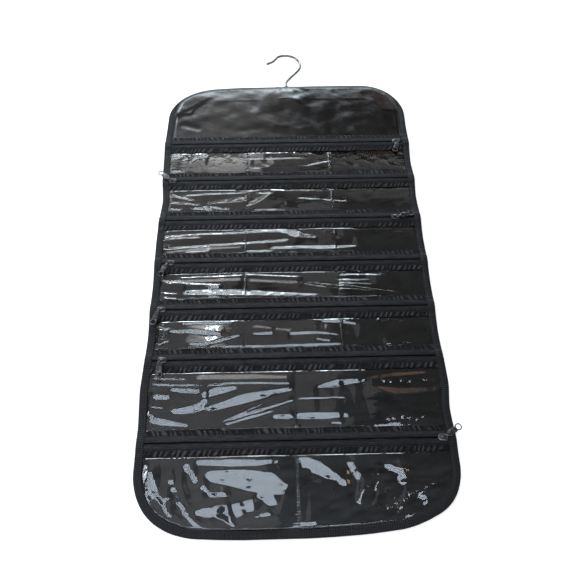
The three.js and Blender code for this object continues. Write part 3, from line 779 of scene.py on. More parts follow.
def yoke_height(x, y):
    """The yoke's front: sewn flat at its rim, rolled up over the hanger in a quarter ellipse, then down to
    the first zip, held up like a tent over the hanger's boss, with a slanting step near the left corner,
    bell-shaped creases, gathers that ray out from the hook and low waves."""
    inside = edge_distance(x, y)
    rise = front_leg(x, y) + 0.4
    roll = np.clip((inside - rise) / 5.0, 0, 1)
    roll = np.sqrt(np.maximum(1 - (1 - roll) ** 2, 0))
    down = np.sin(np.pi / 2 * np.clip((y - ZIP[1] - CROWN) / 96, 0, 1))
    boss = np.exp(-((x / 14) ** 6) - ((y - BOSS_Y) / 15) ** 6)
    aside, away = np.maximum(np.abs(x) - 7, 0), np.maximum(np.abs(y - BOSS_Y) - 7, 0)
    tent = hump(aside, 22) * hump(away, 19)
    lift = (4.5 * down + 2.3 * tent) * roll
    along, across = 0.784 * (x + 160) + 0.621 * (y - 262), -0.621 * (x + 160) + 0.784 * (y - 262)
    folds = 1.5 * ease(across, -5, 5) * ease(along, -8, 6) * (1 - ease(along, 44, 74))
    for a, b, wide, height in CREASES:
        folds += height * hump(capsule(x, y, a, b, wide, wide), 1)
    fade = ease(inside, rise + 1, rise + 9) * ease(y, ZIP[1] + CROWN + 0.2, ZIP[1] + 30)
    ray = np.arctan2(x, TOP + 6 - y)
    near = np.hypot(x, TOP - y)
    gather = 0.7 * np.sin(13 * ray + 0.6 * np.sin(3 * ray)) * np.exp(-near / 14) * roll
    gather -= 1.6 * hump(near, 5.5) * roll
    soft = 0.20 * ripple(x, y, 70, 42, 11) + 0.035 * ripple(x, y, 24, 17, 12)
    rim = 0.28 * np.sin(2 * np.pi * x / 9.5 + 1.2 * ripple(x, 0 * x, 50, 1, 14))
    rim *= hump(inside - rise - 3, 3.5)
    height = SHEET_TOP + lift + fade * (folds + soft) + gather + rim * roll
    bar = ease(inside, 5.5, 10.5) * (1 - ease(inside, 31, 40)) * ease(y, 258, 270)
    over = SHEET_TOP + 0.02 * roll + 4.0 * bar + 2.7 * boss * ease(inside, 8, 13)
    clear = height - over
    return over + 0.5 * (clear + np.sqrt(clear**2 + 0.3)) - 0.27 * (1 - roll)


def yoke():
    """Columns from points round the top of the outline down to the first zip, closer together in rows near
    the rim; each column is a straight blend from its rim point to its foot point. Its map holds how far each
    point is from the outline, and how dull it is near the rim."""
    low = ZIP[1] + TUCK
    t = np.linspace(0, 1, 250)
    bow = TOP_CORNER - 1
    side, corner, top = TOP - TOP_CORNER - low, bow * np.pi / 2, 2 * (HALF - TOP_CORNER)
    s = t * (2 * side + 2 * corner + top)
    marks = [0, side, side + corner, side + corner + top, side + 2 * corner + top, s[-1]]
    x = np.interp(s, marks, [-HALF + 1, -HALF + 1, -HALF + TOP_CORNER, HALF - TOP_CORNER, HALF - 1, HALF - 1])
    y = np.interp(s, marks, [low, TOP - TOP_CORNER, TOP - 1, TOP - 1, TOP - TOP_CORNER, low])
    left = (s > side) & (s < side + corner)
    right = (s > side + corner + top) & (s < side + 2 * corner + top)
    turn = np.where(left, np.pi - (s - side) / bow, np.pi / 2 - (s - side - corner - top) / bow)
    bent = left | right
    middle = np.where(left, -HALF + TOP_CORNER, HALF - TOP_CORNER)
    x = np.where(bent, middle + bow * np.cos(turn), x)
    y = np.where(bent, TOP - TOP_CORNER + bow * np.sin(turn), y)
    foot = 0.75 * (2 * t - 1) * (HALF - 1) + 0.25 * x
    w = np.linspace(0, 1, 118)
    w = 0.45 * w + 0.55 * w**2.2
    px = x[:, None] + (foot - x)[:, None] * w[None]
    py = y[:, None] + (low - y)[:, None] * w[None]
    z = yoke_height(px, py)
    points = np.stack([px, py, z], -1)
    inside = edge_distance(px, py)
    rim = 1 - ease(inside - front_leg(px, py), 0.5, 5 + 9 * ease(py, 264, 296))
    return slab(points, points - [0, 0, 0.4], np.stack([inside, 1000 * rim], -1))


yoke_piece = make("yoke_cloth", [yoke()], YOKE_CLOTH, "panel", ["yoke_panel"])


def buttonhole():
    """Close stitches standing round the hook's wire where it leaves the yoke, over the rolled top edge."""
    turn = np.radians(np.linspace(-160, 160, 17))
    x = 2.3 * np.sin(turn)
    z = HOOK_Z + 2.3 * np.cos(turn)
    start = np.stack([x, np.full_like(x, TOP - 3.6), z], -1)
    ahead = unit(np.stack([1.2 * np.sin(turn), -2.2 + 0 * turn, 0.4 * np.cos(turn)], -1))
    up = np.stack([np.sin(turn), 0 * turn, np.cos(turn)], -1)
    up = unit(up - (up * ahead).sum(1)[:, None] * ahead)
    return stitches(start, ahead, up, 3.2, 0.36, 0.3)


make("buttonhole_stitching", [buttonhole()], THREAD, "panel")

hanger_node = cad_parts["hanger"]
hanger_node.data.materials.clear()
hanger_node.data.materials.append(PLASTIC)


# Pocket windows

# Folds of each vinyl sheet: points (x, y, half-width) along each stretch of film that lies tilted.
FOLDS = {
    1: [
        [(-163.1, 187.5, 1.7), (-147.9, 188.0, 1.9)],
        [(-160.6, 181.0, 1.7), (-150.4, 183.5, 1.6)],
        [(-145.8, 177.0, 1.7), (-136.6, 186.1, 2.1)],
        [(-135.7, 175.0, 1.7), (-126.1, 184.1, 2.1)],
        [(-122.6, 186.0, 1.9), (-114.3, 186.8, 2.0)],
        [(-120.4, 178.6, 1.2), (-117.4, 181.6, 1.2)],
        [(-160.9, 158.2, 2.2), (-148.7, 158.9, 2.2)],
        [(-53.0, 180.3, 1.3), (16.0, 180.7, 1.0)],
        [(27.0, 167.6, 1.3), (58.0, 174.3, 1.1)],
    ],
    2: [
        [(-138.1, 116.2, 1.3), (-100.8, 118.4, 1.4), (-62.0, 119.6, 1.2)],
        [(-158.3, 117.2, 2.0), (-143.2, 112.4, 2.0), (-129.7, 107.9, 1.4)],
        [(-126.3, 93.9, 1.9), (-115.7, 93.7, 2.1)],
        [(-110.9, 97.1, 2.0), (-106.6, 90.3, 1.9)],
        [(-101.6, 95.1, 1.9), (-84.0, 92.0, 1.7)],
        [(-156.5, 93.4, 1.9), (-147.2, 92.3, 1.8)],
        [(-40, 118.8, 1.5), (-23, 118.6, 1.3)],
        [(14, 109.3, 1.1), (74, 102.9, 1.1)],
    ],
    3: [
        [
            (-161, 49.0, 1.4), (-60, 53.2, 1.9), (-13, 54.6, 2.4),
            (8, 49.0, 6.4), (24, 45.4, 3.3), (34, 44.2, 1.0),
        ],
        [(-159, 29.6, 1.9), (-106, 33.6, 1.7), (-60, 36.4, 2.0), (-5, 39.8, 2.4)],
        [(-59, 23.6, 1.6), (-42, 23.8, 2.4), (-25, 23.6, 1.4)],
        [(-24, 28.0, 2.2), (12, 28.6, 2.9), (50, 27.8, 3.4), (82, 29.4, 1.1)],
        [(-133, 22.6, 1.2), (-106, 25.6, 1.5)],
    ],
    4: [
        [(-136, -14.2, 1.0), (-62, -12.9, 1.2)],
        [(-55, -12.0, 1.2), (10, -16.1, 1.0)],
        [(-162, -17.9, 1.5), (-127, -23.7, 1.6), (-89, -25.9, 1.3)],
        [
            (-129, -36.3, 3.8), (-94, -36.6, 4.8), (-59, -37.6, 4.6),
            (-25, -39.6, 3.2), (9, -41.4, 2.4), (30, -42.4, 1.2),
        ],
        [(-161.1, -16.5, 1.0), (-149.6, -22.6, 1.2)],
        [(-157.2, -35.4, 1.1), (-141.3, -37.2, 1.3)],
        [(-155.5, -42.5, 1.1), (-128.7, -45.9, 0.8)],
        [(61, -13.9, 1.5), (111, -14.4, 1.5)],
        [(59, -21.1, 1.3), (94, -22.1, 1.2)],
        [(60, -25.6, 1.2), (96, -28.7, 1.2)],
        [(31, -26.4, 0.5), (65, -30.1, 0.7), (98, -35.1, 0.6), (129, -40.1, 0.4)],
        [(10, -26.0, 0.4), (46, -32.6, 0.6), (95, -37.9, 0.5)],
    ],
    5: [
        [(-131, -79.6, 1.6), (-98, -79.4, 1.8), (-71, -79.2, 0.9)],
        [(-145, -89.6, 1.8), (-115, -90.5, 3.0), (-100, -92.7, 3.2), (-84, -95.5, 1.7)],
        [(-120, -107.2, 1.5), (-102, -107.6, 2.2), (-86, -103.7, 2.3), (-64, -96.4, 1.4)],
        [(-96, -111.4, 1.5), (-64, -110.6, 1.3), (-37, -111.2, 1.4), (7, -110.6, 1.4)],
        [(-47, -95.3, 1.7), (-25, -94.3, 1.7)],
        [(-3, -95.3, 1.9), (25, -94.9, 1.7), (52, -98.1, 1.2)],
        [(34, -79.6, 1.6), (58, -80.2, 1.8), (74, -83.7, 1.1)],
        [(27, -103.2, 1.3), (42, -106.6, 1.4)],
        [(12, -110.8, 1.7), (33, -111.0, 1.8), (54, -110.4, 1.0)],
        [(-164.7, -76.9, 1.1), (-150.1, -82.6, 1.1)],
        [(-162.1, -108.7, 1.6), (-146.3, -102.5, 1.3)],
        [(-159.4, -112.6, 1.2), (-136.2, -114.4, 0.9)],
        [(-156.0, -97.1, 1.1), (-147.1, -92.0, 0.9)],
        [(107, -111.3, 0.5), (130, -109.8, 0.7), (161, -110.5, 0.5)],
    ],
    6: [
        [(-162, -149.2, 1.1), (-123, -151.7, 1.1)],
        [
            (-163, -156.5, 1.1), (-136, -158.2, 1.2), (-100, -160.4, 1.2),
            (-72, -157.9, 1.2), (-6, -159.2, 1.1),
        ],
        [(-136, -163.4, 2.2), (-107, -167.6, 3.0)],
        [(-101, -171.0, 3.8), (-87, -166.8, 4.6), (-66, -163.4, 1.9)],
        [(-134, -189.8, 2.8), (-116, -187.6, 4.2), (-105, -184.4, 4.5), (-100, -178.1, 2.8)],
        [(-99, -187.5, 2.1), (-79, -182.6, 4.0), (-63, -178.1, 5.2), (-37, -172.4, 4.3), (-5, -165.5, 1.9)],
        [(-154, -172.2, 3.3), (-141, -172.5, 2.4)],
        [(-71, -199.4, 1.4), (-37, -189.4, 1.7), (-5, -179.5, 1.3)],
        [(-76, -205.3, 1.4), (-50, -197.8, 1.5), (-26, -191.2, 1.2)],
        [(-162, -195.9, 4.8), (-148, -200.8, 3.9), (-117, -206.4, 1.4)],
        [(-24, -197.7, 2.5), (-7, -197.7, 3.0)],
        [(4, -197.2, 3.5), (37, -197.7, 3.5), (57, -197.8, 2.1)],
        [(25, -163.5, 1.7), (46, -159.8, 4.1), (62, -157.8, 2.9), (79, -156.2, 1.1)],
        [(5, -177.2, 0.9), (53, -176.8, 1.1)],
        [(39, -206.0, 1.5), (48, -206.6, 1.4)],
        [(-158.0, -183.7, 0.9), (-144.7, -185.1, 0.9)],
        [(-80.6, -202.7, 0.8), (-61.1, -194.0, 1.0), (-37.1, -182.9, 0.8)],
    ],
    7: [
        [(-104, -246.8, 2.8), (-73, -247.9, 3.8), (-42, -249.0, 3.4), (-22, -247.8, 1.7)],
        [
            (-91, -261.2, 5.4), (-72, -263.4, 8.4), (-51, -266.4, 10.4),
            (-31, -269.4, 11.0), (-19, -274.4, 6.6),
        ],
        [(-37, -279.1, 7.1), (-28, -287.4, 5.4)],
        [(-97, -273.0, 2.5), (-91, -280.4, 2.5), (-73, -280.4, 2.5)],
        [
            (-102, -298.6, 3.0), (-86, -297.6, 6.0), (-69, -297.4, 7.2),
            (-50, -291.5, 5.8), (-40, -287.6, 3.2),
        ],
        [(-72, -302.3, 4.9), (-66, -309.6, 2.5)],
        [(-154, -260.0, 4.4), (-151, -272.4, 4.7), (-149, -281.6, 4.7), (-142, -287.8, 3.0)],
        [(-144, -291.1, 1.8), (-130, -282.0, 1.8)],
        [(-131, -266.2, 2.0), (-129, -276.0, 1.7)],
        [(-131, -300.9, 1.3), (-126, -289.1, 1.6)],
        [(-116, -250.3, 2.8), (-108, -266.2, 3.1)],
        [(-43, -301.9, 1.9), (-30, -299.9, 1.9)],
        [(4, -246.1, 2.8), (12, -250.6, 6.6), (22, -255.6, 6.6), (36, -263.2, 4.4), (49, -272.9, 2.1)],
        [(56, -252.1, 2.8), (60, -260.6, 4.4), (62, -269.0, 2.5)],
        [(81, -266.4, 2.7), (77, -277.6, 4.3), (69, -285.6, 4.7), (62, -292.4, 2.4)],
        [(95, -255.5, 2.8), (109, -261.8, 3.8), (109, -271.1, 4.1), (107, -280.9, 2.4)],
        [(117, -292.7, 2.0), (125, -288.3, 2.8), (131, -299.8, 2.4)],
        [(99, -303.2, 2.6), (107, -304.2, 2.4)],
        [(0, -310.6, 1.4), (15, -310.8, 1.5)],
    ],
}


# Flatter stretches of each sheet, which catch a duller light.
SLACK = {
    1: [[(-46.1, 165.8, 4.6), (-28.1, 169.1, 3.7)]],
    2: [
        [(-106.8, 102.9, 1.8), (-81.8, 106.5, 3.6), (-60.5, 108.5, 4.6)],
        [(-55.1, 98.5, 2.4), (-39.2, 108.1, 3.6), (-27.1, 116.2, 1.8)],
        [(-45.8, 90.6, 1.7), (-7.6, 89.8, 2.0)],
        [(-156.0, 104.6, 2.5), (-124.0, 100.6, 2.0)],
    ],
    3: [
        [(-155.4, 23.8, 1.5), (-115.3, 28.2, 2.3), (-64.6, 30.2, 1.6)],
        [(-159.6, 45.0, 1.9), (-116.2, 46.0, 1.6)],
        [(46.1, 54.2, 4.0), (59.7, 44.4, 4.4)],
    ],
    4: [
        [(-148, -19.0, 1.2), (-118.0, -19.4, 2.4), (-60.2, -19.2, 2.6)],
        [(-51.5, -20.5, 2.4), (0.1, -24.3, 2.9), (49.3, -25.4, 1.5)],
    ],
    5: [
        [(-160.7, -82.3, 2.0), (-142.6, -89.4, 2.7)],
        [(-45.1, -84.8, 2.0), (-4.0, -91.1, 2.1)],
    ],
    6: [
        [(-106.9, -149.9, 3.0), (-50.5, -149.9, 3.2), (-6.5, -151.1, 2.2)],
        [(85.0, -153.2, 1.7), (114.9, -149.9, 2.7), (147.2, -147.9, 2.0)],
        [(92.0, -165.6, 2.2), (111.0, -170.6, 4.4), (134.0, -170.4, 3.6), (157.0, -168.4, 2.4)],
    ],
    7: [],
}

# Middles of small blisters in the film.
BLISTERS = [
    (102.2, -78.6), (108.0, -80.7), (115.3, -78.6), (122.3, -79.8), (129.3, -81.6), (100.5, -157.2),
    (108.2, -158.6), (120.8, -157.0), (129.7, -158.6), (145.7, -156.9), (153.5, -158.3), (101.5, -202.2),
    (107.1, -200.9), (118.2, -199.8), (125.7, -201.6), (133.2, -202.9), (140.0, -200.7), (92.0, -300.4),
    (100.3, -296.1), (108.8, -293.7), (116.1, -288.2), (124.6, -285.4), (133.9, -281.0), (141.5, -276.2),
]


def tilt(k, x, y):
    """The slope of a fold in row k: down to row four the folds fall towards the hook, more so right of the
    middle, and below that they rise to it."""
    if k < 5:
        return -0.133 + 0.000646 * (y - 176) - 0.075 * ease(x, 44, 52)
    return 0.132 + 0.00103 * (y + 277)


def slack_tilt(k):
    """The slope of a slack stretch in row k: a gentler fall towards the hook."""
    return {1: -0.05, 2: -0.083, 3: -0.115, 4: -0.15, 5: -0.20, 6: -0.27, 7: -0.37}[k]


def along_strokes(x, y, strokes):
    """1 inside the strokes, 0 outside, eased over their edges."""
    inside = np.zeros_like(x)
    for stroke in strokes:
        for (ax, ay, aw), (bx, by, bw) in zip(stroke[:-1], stroke[1:]):
            near = capsule(x, y, (ax, ay), (bx, by), aw, bw)
            inside = np.maximum(inside, 1 - ease(near, 0.78, 1.16))
    return inside


def fold_height(k, x, y):
    """The film's height over its sewn edges: the slopes of its folds and slack stretches summed up the
    sheet, with the film between them sloping back so that both ends meet their seams, lifted clear of the
    cloth. It is let down to the cloth at its edges and at each stitch of the dividing seams, crumples at the
    sides and has small round blisters. Each fold's slope is made up five times over for what the smoothing
    took off it. Near the zips the height keeps below the pulls, and further off there is more room."""
    side = HALF - BOUND - np.abs(x)
    head = ZIP[k] - CROWN - y
    foot = y - ZIP[k + 1] - CROWN if k < 7 else edge_distance(x, y) - BOUND
    inside = np.minimum(np.minimum(head, foot), side)
    bright, dull = along_strokes(x, y, FOLDS[k]), along_strokes(x, y, SLACK[k])
    held = np.ones_like(x)
    for seam in SEAMS[k]:
        held *= 1 - hump(x - seam, 1.7)
    wobble = (0.006 + 0.010 * ease(x, -30, 20) if k < 3 else 0.016) * ripple(x, y, 34, 9, 60 + k)
    open_area = ease(inside, 0.0, 1.5)
    free = held * open_area
    marked = bright + dull * (1 - bright)
    taken = marked * free
    uneven = 0.030 * ripple(x, y, 24, 11, 40 + k) + 0.012 * ripple(x, y, 8, 5, 50 + k)
    goal = (tilt(k, x, y) + uneven) * bright + slack_tilt(k) * dull * (1 - bright)
    slope = goal * free
    step = np.gradient(y, axis=1)
    rest = np.maximum(open_area - taken, 0)
    ramp = np.cumsum(open_area * step, 1)
    busy = blur((bright * (np.minimum(head, foot) < 12)).max(1, keepdims=True), 2, 0)
    to_left, to_right = HALF - BOUND + x, HALF - BOUND - x
    crumple = np.exp(-np.maximum(to_left, 0) / (9 if k < 6 else 6))
    crumple += 0.3 * np.exp(-np.maximum(to_right, 0) / 8)
    crease = (0.2 if k < 3 else 0.4) * np.abs(ripple(x, y, 12, 7, 70 + k)) * crumple * (1 - 0.8 * bright)
    for _ in range(5):
        back = (slope * step).sum(1, keepdims=True) / np.maximum((rest * step).sum(1, keepdims=True), 4.0)
        sums = np.cumsum((slope - back * rest + wobble * open_area) * step, 1)
        sums -= sums[:, -1:] * ramp / np.maximum(ramp[:, -1:], 1.0)
        sums = blur(sums, 1.5, 0)
        clear = blur(np.maximum(-sums.min(1, keepdims=True), 0), 5, 0) + 0.25
        run = 0.3 + 5.0 * (1 - busy) * hump(clear - 0.25, 0.35)
        rise = (1 - np.exp(-np.maximum(head, 0) / run)) * (1 - np.exp(-np.maximum(foot, 0) / run))
        rise *= 1 - np.exp(-np.maximum(side, 0) / 3.0)
        height = (clear + crease + sums) * rise
        short = (goal / np.maximum(marked, 0.01) - np.gradient(height, axis=1) / step) * taken
        slope = np.clip(slope + 0.7 * short, -0.9, 0.7)
    for seam in SEAMS[k]:
        dimple = np.abs(np.sin(np.pi * y / SEAM_STEP)) * np.exp(-np.abs(x - seam) / 1.4)
        height += (0.42 if k < 6 else 0.28) * dimple * ease(inside, 0, 3)
    for bx, by in BLISTERS:
        height += 0.66 * hump(np.hypot(x - bx, (y - by) / 0.8), 2.0) * ease(inside, 0, 2)
    room = 4.3 + 1.5 * ease(np.minimum(ZIP[k] - y, y - ZIP[k + 1] if k < 7 else 99), 36, 44)
    return np.clip(height, 0.0, room)


def sheet_ends(k):
    """The heights of a pocket sheet's foot and head, tucked under the zip tapes or the binding."""
    return ZIP[k + 1] + TUCK if k < 7 else FOOT + 1.0, ZIP[k] - TUCK


def window(k):
    """A vinyl sheet from under one zip's tape to under the next's, or to the foot of the panel, on a grid
    with closer columns along each dividing seam and closer rows at the zips."""
    low, high = sheet_ends(k)
    count = {6: 130, 7: 146}.get(k, 96)
    by_edge = np.array([0.12, 0.25, 0.4, 0.6, 0.9])
    y = np.linspace(low, high, count)
    by_foot = ZIP[k + 1] + CROWN + by_edge if k < 7 else []
    y = np.sort(np.concatenate([y, ZIP[k] - CROWN - by_edge, by_foot]))
    even = np.linspace(1 - HALF, HALF - 1, 200)
    by_seam = np.add.outer(SEAMS[k], [-2.3, -1.6, -1.0, -0.5, 0.0, 0.5, 1.0, 1.6, 2.3])
    even = even[np.abs(np.subtract.outer(even, SEAMS[k])).min(1) > 2.6]
    columns = np.sort(np.concatenate([even, by_seam.ravel()]))
    x = columns[:, None] / (HALF - 1) * half_width(y, 1.0)[None]
    y = np.broadcast_to(y, x.shape)
    z = SHEET_TOP + fold_height(k, x, y)
    top = np.stack([x, y, z], -1)
    return slab(top, top - [0, 0, 0.3])


windows = {
    k: make(f"vinyl_{k}", [window(k)], VINYL, "panel", [f"pocket_window_{k}"]) for k in ROWS
}


def seam_stitches(k):
    """The stitches that divide a row into pockets: short strands down each seam, dug into the film."""
    high = ZIP[k] - CROWN - 0.6
    low = ZIP[k + 1] + CROWN + 0.6 if k < 7 else FOOT + 11
    parts = []
    for seam in SEAMS[k]:
        y = np.arange(low, high - 2.2, SEAM_STEP)
        x = seam + 0.25 * ripple(y, 0 * y, 20, 1, int(90 + k + seam))
        column_x = np.broadcast_to(np.array([seam - 0.6, seam, seam + 0.6])[:, None], (3, 400))
        column_y = np.broadcast_to(np.linspace(low - 5, high + 5, 400), (3, 400))
        height = np.interp(y, column_y[1], SHEET_TOP + fold_height(k, column_x, column_y)[1])
        start = np.stack([x, y, height + 0.12], -1)
        parts.append(stitches(start, UPWARD, OUTWARD, 2.2, 0.5, 0.25))
    return parts


for k in ROWS:
    make(f"pocket_stitching_{k}", seam_stitches(k), SEAM_THREAD, "panel")


# Zips


def tape_puckers(x, off, seed):
    """Slanted swellings over a zip tape's outer band, one every six millimetres, from 0 to about 1.2."""
    band = ease(off, 7.4, 9.4) * (1 - 0.35 * ease(off, 12.6, 14.5))
    phase = 2 * np.pi * (x / 6.2 + 0.07 * (off - 8)) + 1.5 * ripple(x, 0 * x, 45, 1, seed)
    swell = 0.72 + 0.33 * ripple(x, off, 30, 60, seed + 1)
    return band, np.clip(swell, 0.12, 1.4) * (0.5 + 0.5 * np.sin(phase)) ** 1.3


def tape_seed(k, way):
    """The number that a tape's own ripples are drawn from."""
    return 100 + 10 * k + (5 if way > 0 else 0)


def tape_height(x, off, seed):
    """A zip tape across its width: a raised lip beside the slit, a slope, and a sewn margin, with a bead at
    the lip, a groove at each stitch line, and slanted puckers over the outer band that rise and never dip."""
    fall = [TAPE_LIP, TAPE_LIP, TAPE_LIP - 0.18, TAPE_MARGIN + 0.18, TAPE_MARGIN, TAPE_MARGIN]
    base = np.interp(off, [0.0, 4.2, 5.4, 8.8, 10.0, 20], fall)
    bead = 0.12 * hump(off - SLIT - 0.5, 0.5)
    groove = 0.24 * hump(off - TAPE_STITCH, 0.5) + 0.14 * hump(off - TAPE_HEM, 0.5)
    band, pucker = tape_puckers(x, off, seed)
    soft = 0.10 * ripple(x, off, 42, 30, seed + 2)
    return base + bead - groove + band * pucker + soft * ease(off, 2.5, 8)


def tape_tone_and_painted_light(x, off, seed):
    """Painted light and shade for a zip tape, from 0 to 1: painted highlight on the puckers' tops, painted
    shade in the grooves, between the puckers and at the slit, painted shade towards the right, and a little
    random tone."""
    band, pucker = tape_puckers(x, off, seed)
    # painted highlight on the puckers' tops, painted shade between them
    tone_and_painted_light = 0.38 * (1 - band) + band * np.clip(1.05 * pucker**1.5, 0.02, 1.15)
    # painted shade in the stitch grooves, then at the slit
    tone_and_painted_light -= 0.28 * hump(off - TAPE_STITCH, 0.8) + 0.2 * hump(off - 13.4, 0.7)
    tone_and_painted_light -= 0.4 * np.exp(-np.maximum(off - SLIT, 0) / 0.9)
    tone_and_painted_light += 0.07 * ripple(x, off, 20, 5, seed + 4)
    # painted shade towards the right, where less light falls
    return np.clip(tone_and_painted_light * (1 - 0.38 * ease(x, -130, 150)), 0, 1)


def slit_edge(k, x):
    """Half the slit's width: nearly even, with a slack stretch near the end of the lowest zip."""
    slack = 0.75 * ease(x, 62, 100) * (1 - ease(x, 138, 152)) if k == 7 else 0.0
    return SLIT + slack + 0.22 * np.clip(ripple(x, 0 * x, 60, 1, 200 + k), 0, 1.6)


def tape(k, way):
    """One zip tape: a grid from the slit to the outer edge along the whole width of the panel."""
    x = np.linspace(-HALF + 1, HALF - 1, 520)[:, None]
    v = [0, 0.03, 0.08, 0.16, 0.25, 0.34, 0.44, 0.52, 0.56, 0.62, 0.69, 0.76, 0.83, 0.90, 0.95, 1.0]
    seed = tape_seed(k, way)
    edge = TAPE_REACH + 0.35 * ripple(x, 0 * x, 12, 1, seed + 3)
    off = slit_edge(k, x) + (edge - slit_edge(k, x)) * np.array(v)[None]
    x = np.broadcast_to(x, off.shape)
    z = tape_height(x, off, seed)
    top = np.stack([x, ZIP[k] + way * off, z], -1)
    # the map's second coordinate carries the tape's painted light and shade
    return slab(top, top - [0, 0, 0.45], np.stack([off, 1000 * tape_tone_and_painted_light(x, off, seed)], -1))


def tape_stitches(k, way):
    """Stitches along a tape, sunk in the groove at the foot of its slope."""
    x = np.arange(-HALF + 12, HALF - 14, 3.3)
    off = np.full_like(x, TAPE_STITCH)
    start = np.stack([x, ZIP[k] + way * off, tape_height(x, off, tape_seed(k, way)) + 0.04], -1)
    return stitches(start, AHEAD, OUTWARD, 2.4, 0.2, 0.12)


def coil(k, way):
    """A zip's coil: a six-sided bar whose rings swell and shrink once in every turn, a millimetre apart."""
    x = np.linspace(-162.0, 162.0, 1297)
    turn = np.linspace(0, 2 * np.pi, 6, endpoint=False) + np.pi / 6
    fat = 0.86 + 0.14 * np.cos(2 * np.pi * x)
    y = ZIP[k] + way * (2.2 + 1.25 * fat[:, None] * np.cos(turn))
    z = 3.6 + 0.55 * fat[:, None] * np.sin(turn)
    return loft(np.stack([np.broadcast_to(x[:, None], y.shape), y, z], -1))


for k in ROWS:
    for word, way in (("upper", 1), ("lower", -1)):
        make(
            f"tape_{k}_{word}", [tape(k, way)], TAPE, "panel", [f"zip_{k}_{word}_tape"]
        )
        make(f"coil_{k}_{word}", [coil(k, way)], COIL, "panel", [f"zip_{k}_{word}_coil"])
    make(f"zip_stitching_{k}", [tape_stitches(k, 1), tape_stitches(k, -1)], THREAD, "panel")


# Sliders and pulls


def slider_outline(long, front, rear, count=36, power=0.5):
    """A rounded trapezoid: a squared-off circle whose half-width runs from rear to front along it."""
    turn = np.linspace(0, 2 * np.pi, count, endpoint=False)
    c, s = np.cos(turn), np.sin(turn)
    x = long / 2 * np.sign(c) * np.abs(c) ** power
    wide = (front + rear) / 2 + (front - rear) / 2 * x / (long / 2)
    return np.stack([x, wide * np.sign(s) * np.abs(s) ** power], -1)


def slider(k):
    """Two rounded plates joined by a neck, with a strap that arches over the front plate for the pull."""
    shape = slider_outline(10.5, 4.3, 3.4)
    parts = [
        plate(shape, [5.2, 5.3, 5.75, 6.2, 6.42, 6.5], [0.35, 0.05, 0.0, 0.12, 0.5, 1.2]),
        plate(shape, [1.9, 2.0, 2.6, 2.7], [0.3, 0.0, 0.0, 0.3]),
        plate(slider_outline(3.0, 0.4, 0.4, 16) + [3.35, 0], [2.6, 3.2, 4.6, 5.3], [0, 0, 0, 0]),
    ]
    turn = np.linspace(np.pi, 0, 25)
    c, s = np.cos(turn), np.sin(turn)
    path = np.stack([2.6 * np.sign(c) * np.abs(c) ** 0.6, 6.3 + 2.4 * np.abs(s) ** 0.6], -1)
    along = unit(np.gradient(path, axis=0))
    out = np.stack([-along[:, 1], along[:, 0]], -1)
    wide = np.array([1, 1, 0.75, -0.75, -1, -1, -0.75, 0.75])
    thick = np.array([-0.6, 0.6, 1, 1, 0.6, -0.6, -1, -1])
    flat = path[:, None] + 0.4 * thick[None, :, None] * out[:, None]
    strap = np.stack([flat[..., 0], np.broadcast_to(wide, flat.shape[:2]), flat[..., 1]], -1)
    parts.append(loft(strap))
    low, high = node_box(f"zip_{k}_slider")
    end = PARKED[k]
    centre = np.array([(low[0] + high[0]) / 2, ZIP[k], 0])
    return [(p * [end, end, 1] + centre, faces, uv) for p, faces, uv in parts], centre + [end * 2.6, 0, 0]


def ring(centre, inner, outer, low, high, count=28):
    """A flat ring with rounded edges: an eight-point section turned about its centre."""
    turn = np.linspace(0, 2 * np.pi, count, endpoint=False)
    b = 0.28
    reach = np.array([inner + b, outer - b, outer, outer, outer - b, inner + b, inner, inner])
    tall = np.array([low, low, low + b, high - b, high, high, high - b, low + b])
    x = centre + reach[None] * np.cos(turn)[:, None]
    y = reach[None] * np.sin(turn)[:, None]
    return loft(np.stack([x, y, np.broadcast_to(tall, x.shape)], -1), loop=True)


def pull(k, pivot):
    """An eye round the slider's strap, a tab that widens from it, and a ring at the far end."""
    x = np.array([2.0, 3.6, 4.8, 5.95, 8.5, 11.5, 14.2, 15.2, 15.9])
    wide = np.array([1.1, 1.5, 2.5, 3.35, 3.35, 3.35, 3.3, 2.7, 1.6])
    shape = np.concatenate([np.stack([x, -wide], -1), np.stack([x[::-1], wide[::-1]], -1)])
    tab = plate(shape, [6.85, 6.95, 7.3, 7.7, 7.9, 7.95], [0.3, 0.05, 0.0, 0.05, 0.35, 0.9])
    parts = [ring(0.0, 1.4, 2.6, 6.8, 8.0), tab, ring(18.5, 2.8, 3.95, 6.85, 7.95)]
    turn = math.radians(PULL_TURN[k])
    c, s = math.cos(turn), math.sin(turn)
    spin = np.array([[c, s, 0], [-s, c, 0], [0, 0, 1]])
    return [(p @ spin + pivot, faces, uv) for p, faces, uv in parts]


for k in ROWS:
    body_parts, pivot = slider(k)
    make(f"slider_body_{k}", body_parts, PLATING, f"slider_{k}", [f"zip_{k}_slider"])
    make(f"pull_tab_{k}", pull(k, pivot), PLATING, f"pull_{k}", [f"zip_{k}_pull"])


# Hook


def through(points, each=10):
    """A smooth curve through points: between each two, cubic blends timed by the root of their distance."""
    p = np.concatenate([[2 * points[0] - points[1]], points, [2 * points[-1] - points[-2]]])
    gaps = np.sqrt(np.linalg.norm(np.diff(p, axis=0), axis=1))
    out = []
    for i in range(1, len(p) - 2):
        a, b, c = gaps[i - 1], gaps[i], gaps[i + 1]
        t = np.linspace(0, b, each, endpoint=False)[:, None]
        p0, p1, p2, p3 = p[i - 1 : i + 3]
        a1 = (p0 * (0 - t) + p1 * (t + a)) / a
        a2 = (p1 * (b - t) + p2 * t) / b
        a3 = (p2 * (b + c - t) + p3 * (t - b)) / c
        b1 = (a1 * (b - t) + a2 * (t + a)) / (a + b)
        b2 = (a2 * (b + c - t) + a3 * t) / (b + c)
        out.append((b1 * (b - t) + b2 * t) / b)
    return np.concatenate(out + [points[-1:]])


